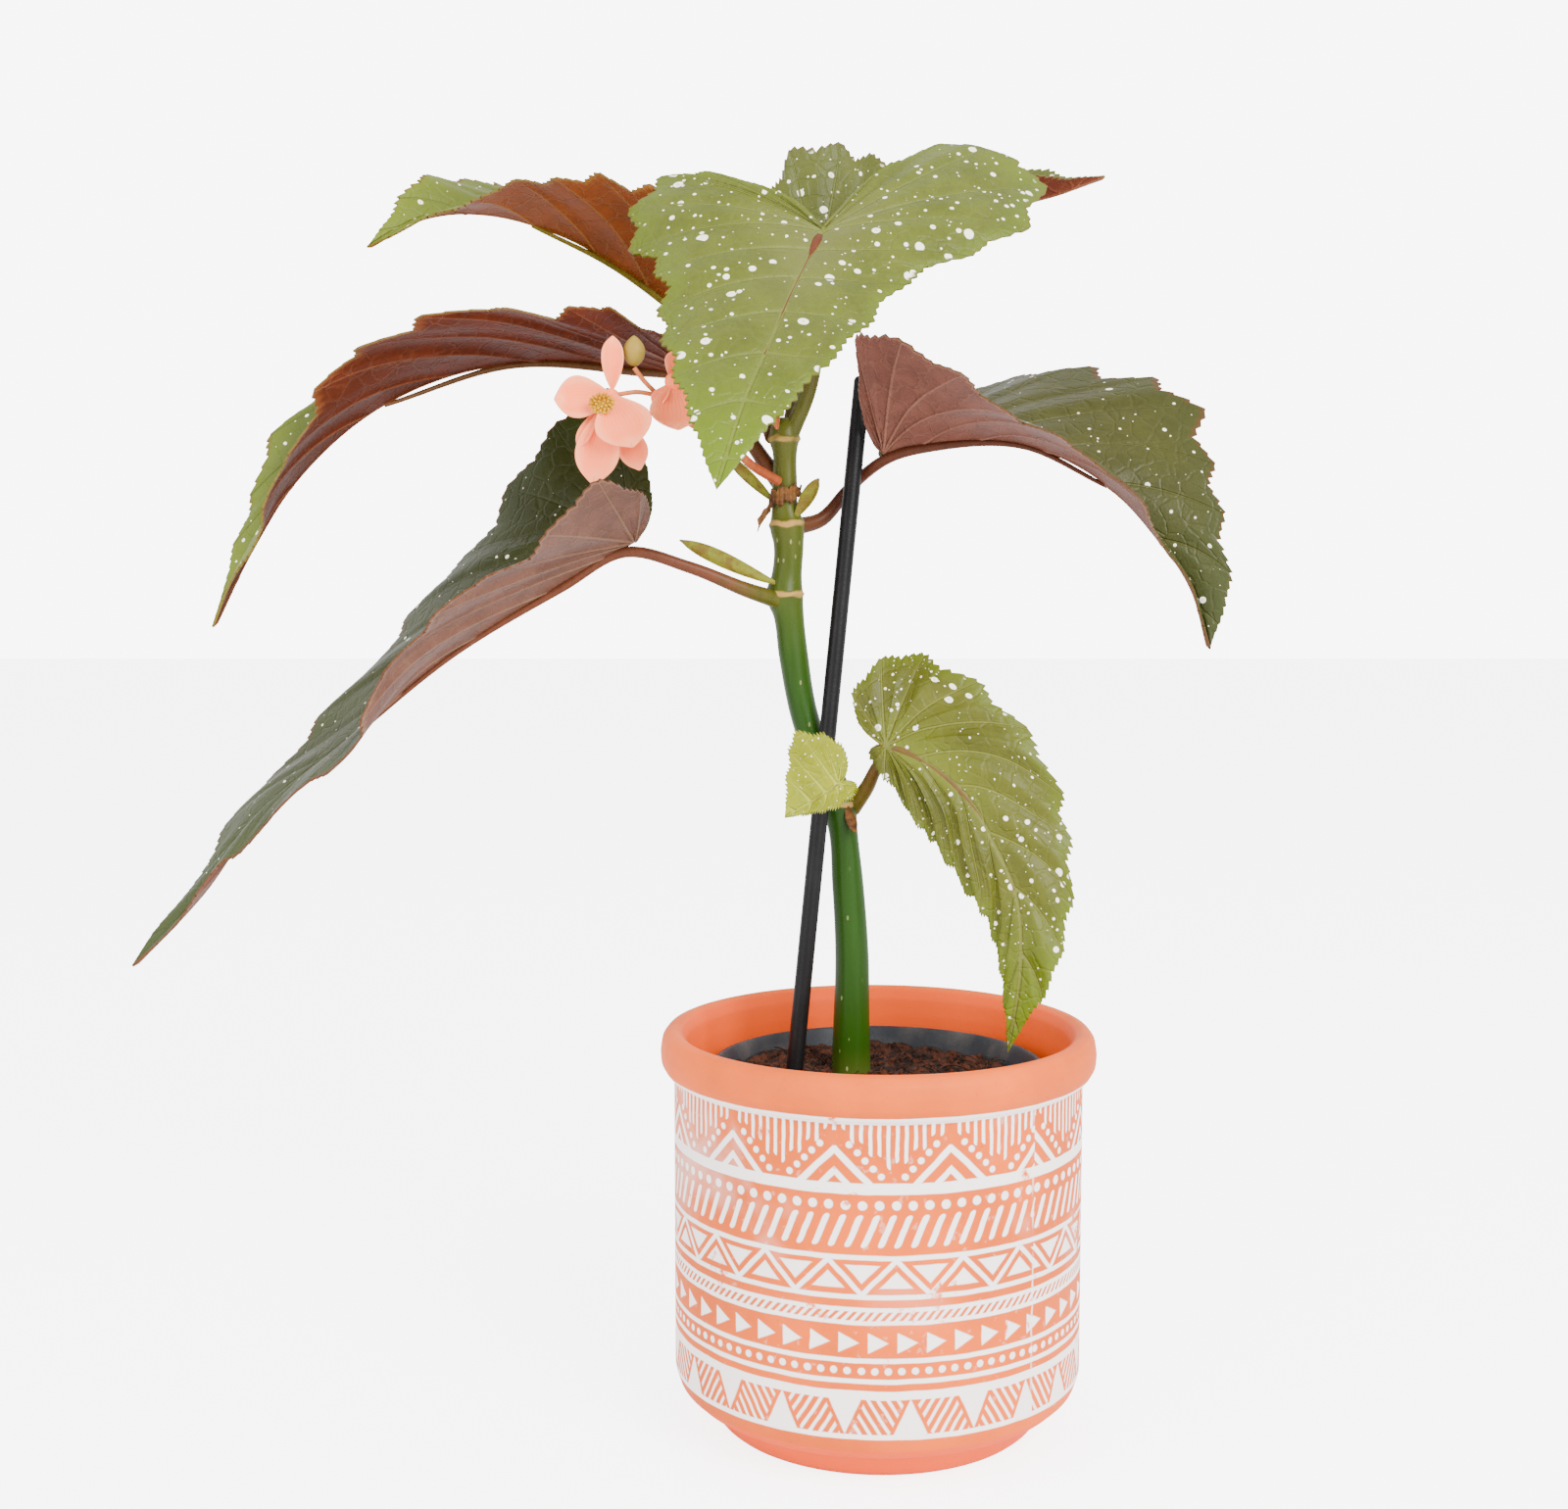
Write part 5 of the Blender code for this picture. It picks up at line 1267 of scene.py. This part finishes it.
class BEGONIA_OT_cane(bpy.types.Operator):
    """Build the cane with its leaf scars, and the stake beside it"""
    bl_idname = "begonia.cane"
    bl_label = "Cane and stake"

    def execute(self, context):
        settings = context.scene.begonia_plant
        places = np.array(CANE, float)
        rows = smooth(places[:, 2], places, np.linspace(places[0, 2], places[-1, 2], 300))
        for z in SCAR_HEIGHTS:
            rows[:, 3] += 0.55 * np.exp(-((rows[:, 2] - z) / 0.8) ** 2)
        points, faces = tube_mesh(rows, 40, radius=lambda k, turn: 1 + 0.015 * np.sin(3 * turn + k * 0.05)
                                  + 0.008 * np.sin(7 * turn - k * 0.03))
        skin = skin_material("Cane skin", cane_group(), {"Low Color": settings.cane_low,
                                                         "High Color": settings.cane_high}, bump=0.0003)
        keep(mesh_object("cane_fine", points, faces, [skin], crease=60), "cane_skin", "cane")
        self.stake(settings)
        return {"FINISHED"}

    def stake(self, settings):
        foot, head = np.array(STAKE_FOOT, float), np.array(STAKE_HEAD, float)
        length = np.linalg.norm(head - foot)
        ends = [(0, 0.6), (1.0, 0.9), (2.0, 1)] + [(d, 1) for d in np.linspace(4, length - 3, 60)]
        ends += [(length - 1.6, 1), (length - 0.8, 0.93), (length - 0.2, 0.75), (length, 0.55)]
        line = [(*(foot + (head - foot) * d / length), STAKE_RADIUS * s) for d, s in ends]
        points, faces = tube_mesh(line, 32)
        skin = skin_material("Stake plastic", plastic_group(), {
            "Main Color": settings.stake, "Dust Color": linear((40, 38, 36)), "Dust": 0.2,
            "Gloss Loss": 0.3}, bump=0.00008)
        keep(mesh_object("stake_fine", points, faces, [skin], crease=50), "stake_plastic", "support_stake")


class BEGONIA_OT_leaves(bpy.types.Operator):
    """Build every leaf with its veins, spots, teeth and stalk"""
    bl_idname = "begonia.leaves"
    bl_label = "Leaves"

    def execute(self, context):
        settings = context.scene.begonia_plant
        groups = {"upper": leaf_upper_group(), "under": leaf_under_group(), "stalk": stalk_group()}
        for name, leaf in LEAVES.items():
            leaf_object(name, leaf, settings, groups)
        return {"FINISHED"}


class BEGONIA_OT_stipules(bpy.types.Operator):
    """Build the small scales at the leaf nodes"""
    bl_idname = "begonia.stipules"
    bl_label = "Stipules"

    def execute(self, context):
        tree = dry_group()
        skins = {slot: skin_material(label, tree, {"Main Color": linear(main), "Edge Color": linear(edge)},
                                     bump=bump) for slot, (label, main, edge, bump) in STIPULE_SKINS.items()}
        for name, (slot, *shape) in STIPULES.items():
            points, faces, places = petal_mesh(*shape, thick=0.5, seed=len(name))
            piece = mesh_object(name + "_fine", points, faces, [skins[slot]], uv=("Petal", places), crease=60)
            keep(piece, slot, name)
        self.wrapped(skins["stipule_dry"])
        return {"FINISHED"}

    def wrapped(self, skin):
        """Dry scale that clasps the cane and ends in a hook."""
        columns, rows = 66, 11
        c = np.linspace(0, 1, columns)[:, None]
        r = np.linspace(-1, 1, rows)[None, :]
        angle = np.radians(195 + 150 * np.clip((c - 0.15) / 0.85, 0, 1))
        reach = 5.15 + 9 * np.maximum(0, 0.2 - c) ** 1.2 + 3.5 * np.maximum(0, c - 0.85) + 0.5 * np.abs(r)
        tall = 2.9 * np.sin(math.pi * (0.08 + 0.84 * c)) ** 0.5
        droop = -38 * np.maximum(0, 0.22 - c) + 4 * (c - 0.5)
        ragged = (0.7 * np.sin(c * 25.2 + r) + 0.35 * np.sin(c * 71 + 2 * r)) * np.abs(r) ** 3
        x = WRAP_CENTRE[0] + reach * np.cos(angle) - 20 * np.maximum(0, 0.15 - c)
        y = WRAP_CENTRE[1] + reach * np.sin(angle) + 0.15 * np.sin(c * 60)
        z = WRAP_CENTRE[2] + droop + r * tall + ragged
        grid = np.stack(np.broadcast_arrays(x, y, z), -1).reshape(-1, 3)
        faces = [[a, d, c, b] for a, b, c, d in grid_faces(columns, rows)]
        normal = point_normals(grid, faces)
        points = np.vstack([grid + normal * 0.25, grid - normal * 0.25])
        piece = mesh_object("stipule_wrapped_fine", points, closed(faces, len(grid)), [skin], crease=60)
        keep(piece, "stipule_dry", "stipule_wrapped")


class BEGONIA_OT_flowers(bpy.types.Operator):
    """Build the flower stalk, the two blooms, the stamens and the bud"""
    bl_idname = "begonia.flowers"
    bl_label = "Flowers"

    def execute(self, context):
        settings = context.scene.begonia_flower
        tree = petal_group()
        petal = skin_material("Petals", tree, {"Heart Color": settings.heart, "Rim Color": settings.rim},
                              bump=0.0001, Subsurface_Weight=0.25, Subsurface_Radius=(0.004, 0.002, 0.001))
        for name, petals, heart in (("front_bloom", FRONT_PETALS, FRONT_HEART),
                                    ("side_bloom", SIDE_PETALS, SIDE_HEART)):
            parts = [petal_mesh(*shape, rows=30, columns=27, seed=k) for k, shape in enumerate(petals)]
            parts.append(ball_mesh(heart, HEART_RADII))
            points, faces, places = joined(parts)
            keep(mesh_object(name + "_fine", points, faces, [petal], uv=("Petal", places), crease=60),
                 "petal", name)
        self.stalk()
        self.stamens(settings)
        points, faces, places = ball_mesh(BUD_HEART, BUD_RADII, 26, 32, 0.45)
        bud = skin_material("Bud", tree, {"Heart Color": linear((112, 104, 20)),
                                          "Rim Color": linear((200, 140, 76))}, bump=0.0001)
        keep(mesh_object("flower_bud_fine", points, faces, [bud], uv=("Petal", places)), "bud_skin",
             "flower_bud")
        return {"FINISHED"}

    def stalk(self):
        lines = [np.column_stack([along(STALK, 70), np.linspace(1.7, 1.1, 70)])]
        lines += [np.column_stack([along(line, 24), np.full(24, 0.8)]) for line in BRANCHES]
        parts = []
        for line in lines:
            points, faces = tube_mesh(line, 16)
            parts.append((points, faces, np.zeros((len(points), 2))))
        points, faces, _ = joined(parts)
        share = np.clip((points[:, 0] + 35) / -50, 0, 1)
        data = np.column_stack([np.zeros((len(points), 2)), share])
        skin = skin_material("Flower stalk", stalk_group(), {
            "Foot Color": linear((130, 58, 24)), "End Color": linear((196, 110, 60))}, bump=0.0002)
        keep(mesh_object("flower_stalk_fine", points, faces, [skin], data=data, crease=60),
             "flower_stalk_skin", "flower_stalk")

    def stamens(self, settings):
        centre, count = np.array(STAMEN_HEART), settings.stamens
        k = np.arange(count)
        turn, rise = k * GOLDEN_TURN, 1 - (k + 0.5) / count
        reach = np.sqrt(1 - rise ** 2)
        out = np.stack([reach * np.cos(turn), -rise, reach * np.sin(turn)], 1)
        points, faces, _ = ball_mesh(STAMEN_HEART, STAMEN_CORE, 8, 12)
        skin = skin_material("Stamens", dry_group(), {
            "Main Color": settings.stamen, "Edge Color": linear((176, 120, 4))}, bump=0.0001)
        core = mesh_object("stamen_core", points, faces, [skin])
        tips = self.caps(centre, out, skin)
        grown(tips, stamen_nodes(), {"Head Radius": 0.00055, "Stalk Radius": 0.0002, "Length": 0.0012,
                                     "Material": skin})
        keep(core, "stamen", "bloom_stamens")
        keep(tips, "stamen", "bloom_stamens")

    def caps(self, centre, out, skin):
        """Tiny tilted faces whose points carry the stamens."""
        points, faces = [], []
        for way in out:
            side = np.cross(way, (0.2, 0.1, 1))
            side /= np.linalg.norm(side)
            over = np.cross(way, side)
            at = centre + way * STAMEN_SEATS
            first = len(points)
            points += [at + side * 0.01, at - side * 0.005 + over * 0.008, at - side * 0.005 - over * 0.008]
            faces.append([first, first + 1, first + 2])
        return mesh_object("stamen_heads", np.array(points), faces, [skin])


class BEGONIA_OT_stage(bpy.types.Operator):
    """Set the floor, the lights and the camera"""
    bl_idname = "begonia.stage"
    bl_label = "Stage"

    def execute(self, context):
        settings = context.scene.begonia_stage
        corners = [(x * FLOOR_REACH, y * FLOOR_REACH, 0) for x, y in ((-1, -1), (1, -1), (1, 1), (-1, 1))]
        floor = mesh_object("floor", corners, [[0, 1, 2, 3]], [self.floor_material(settings)])
        for name, place, size, share in LIGHTS:
            self.area(name, place, size, settings.key_power * share)
        world = bpy.data.worlds.new("studio")
        context.scene.world = world
        world.use_nodes = True
        sky = Graph(world.node_tree)
        seen = Num(sky, sky.node("ShaderNodeLightPath").outputs["Is Camera Ray"])
        background = world.node_tree.nodes["Background"]
        background.inputs["Color"].default_value = (1, 1, 1, 1)
        sky.feed(background.inputs["Strength"], seen * (settings.backdrop - settings.sky) + settings.sky)
        camera = bpy.data.cameras.new("camera")
        camera.lens, camera.sensor_width = LENS, FILM
        seat = bpy.data.objects.new("camera", camera)
        seat.location = CAMERA_PLACE
        seat.rotation_euler = (math.radians(CAMERA_TILT), 0, 0)
        context.scene.collection.objects.link(seat)
        context.scene.camera = seat
        return {"FINISHED"}

    def floor_material(self, settings):
        made = bpy.data.materials.new("Floor")
        made.use_nodes = True
        shader = made.node_tree.nodes["Principled BSDF"]
        shader.inputs["Base Color"].default_value = (*settings.floor, 1)
        shader.inputs["Roughness"].default_value = 0.8
        g = Graph(made.node_tree)
        seen = Num(g, g.node("ShaderNodeLightPath").outputs["Is Camera Ray"])
        shader.inputs["Emission Color"].default_value = (1, 1, 1, 1)
        g.feed(shader.inputs["Emission Strength"], seen * settings.glow)
        return made

    def area(self, name, place, size, power):
        light = bpy.data.lights.new(name, "AREA")
        light.size, light.energy = size, power
        lamp = bpy.data.objects.new(name, light)
        lamp.location = place
        lamp.rotation_euler = (Vector(LIT_POINT) - Vector(place)).to_track_quat("-Z", "Y").to_euler()
        bpy.context.scene.collection.objects.link(lamp)


class BEGONIA_PT_panel(bpy.types.Panel):
    bl_idname = "BEGONIA_PT_panel"
    bl_label = "Cane begonia"
    bl_space_type = "VIEW_3D"
    bl_region_type = "UI"
    bl_category = "Begonia"

    def draw(self, context):
        for group in SETTINGS:
            settings = getattr(context.scene, group)
            for key in settings.__annotations__:
                self.layout.prop(settings, key)
        for operator in OPERATORS:
            self.layout.operator(operator.bl_idname)


OPERATORS = (BEGONIA_OT_stage, BEGONIA_OT_pots, BEGONIA_OT_soil, BEGONIA_OT_cane, BEGONIA_OT_leaves,
             BEGONIA_OT_stipules, BEGONIA_OT_flowers)
SETTINGS = {"begonia_pot": BegoniaPotSettings, "begonia_soil": BegoniaSoilSettings,
            "begonia_plant": BegoniaPlantSettings, "begonia_flower": BegoniaFlowerSettings,
            "begonia_stage": BegoniaStageSettings}


def register():
    for one in (*SETTINGS.values(), *OPERATORS, BEGONIA_PT_panel):
        bpy.utils.register_class(one)
    for name, group in SETTINGS.items():
        setattr(bpy.types.Scene, name, PointerProperty(type=group))


def unregister():
    for name in SETTINGS:
        delattr(bpy.types.Scene, name)
    for one in reversed((*SETTINGS.values(), *OPERATORS, BEGONIA_PT_panel)):
        bpy.utils.unregister_class(one)


def main():
    register()
    for operator in OPERATORS:
        group, action = operator.bl_idname.split(".")
        if getattr(getattr(bpy.ops, group), action)() != {"FINISHED"}:
            raise RuntimeError(f"{operator.bl_label} could not be built")
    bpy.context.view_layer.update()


if __name__ == "__main__":
    main()
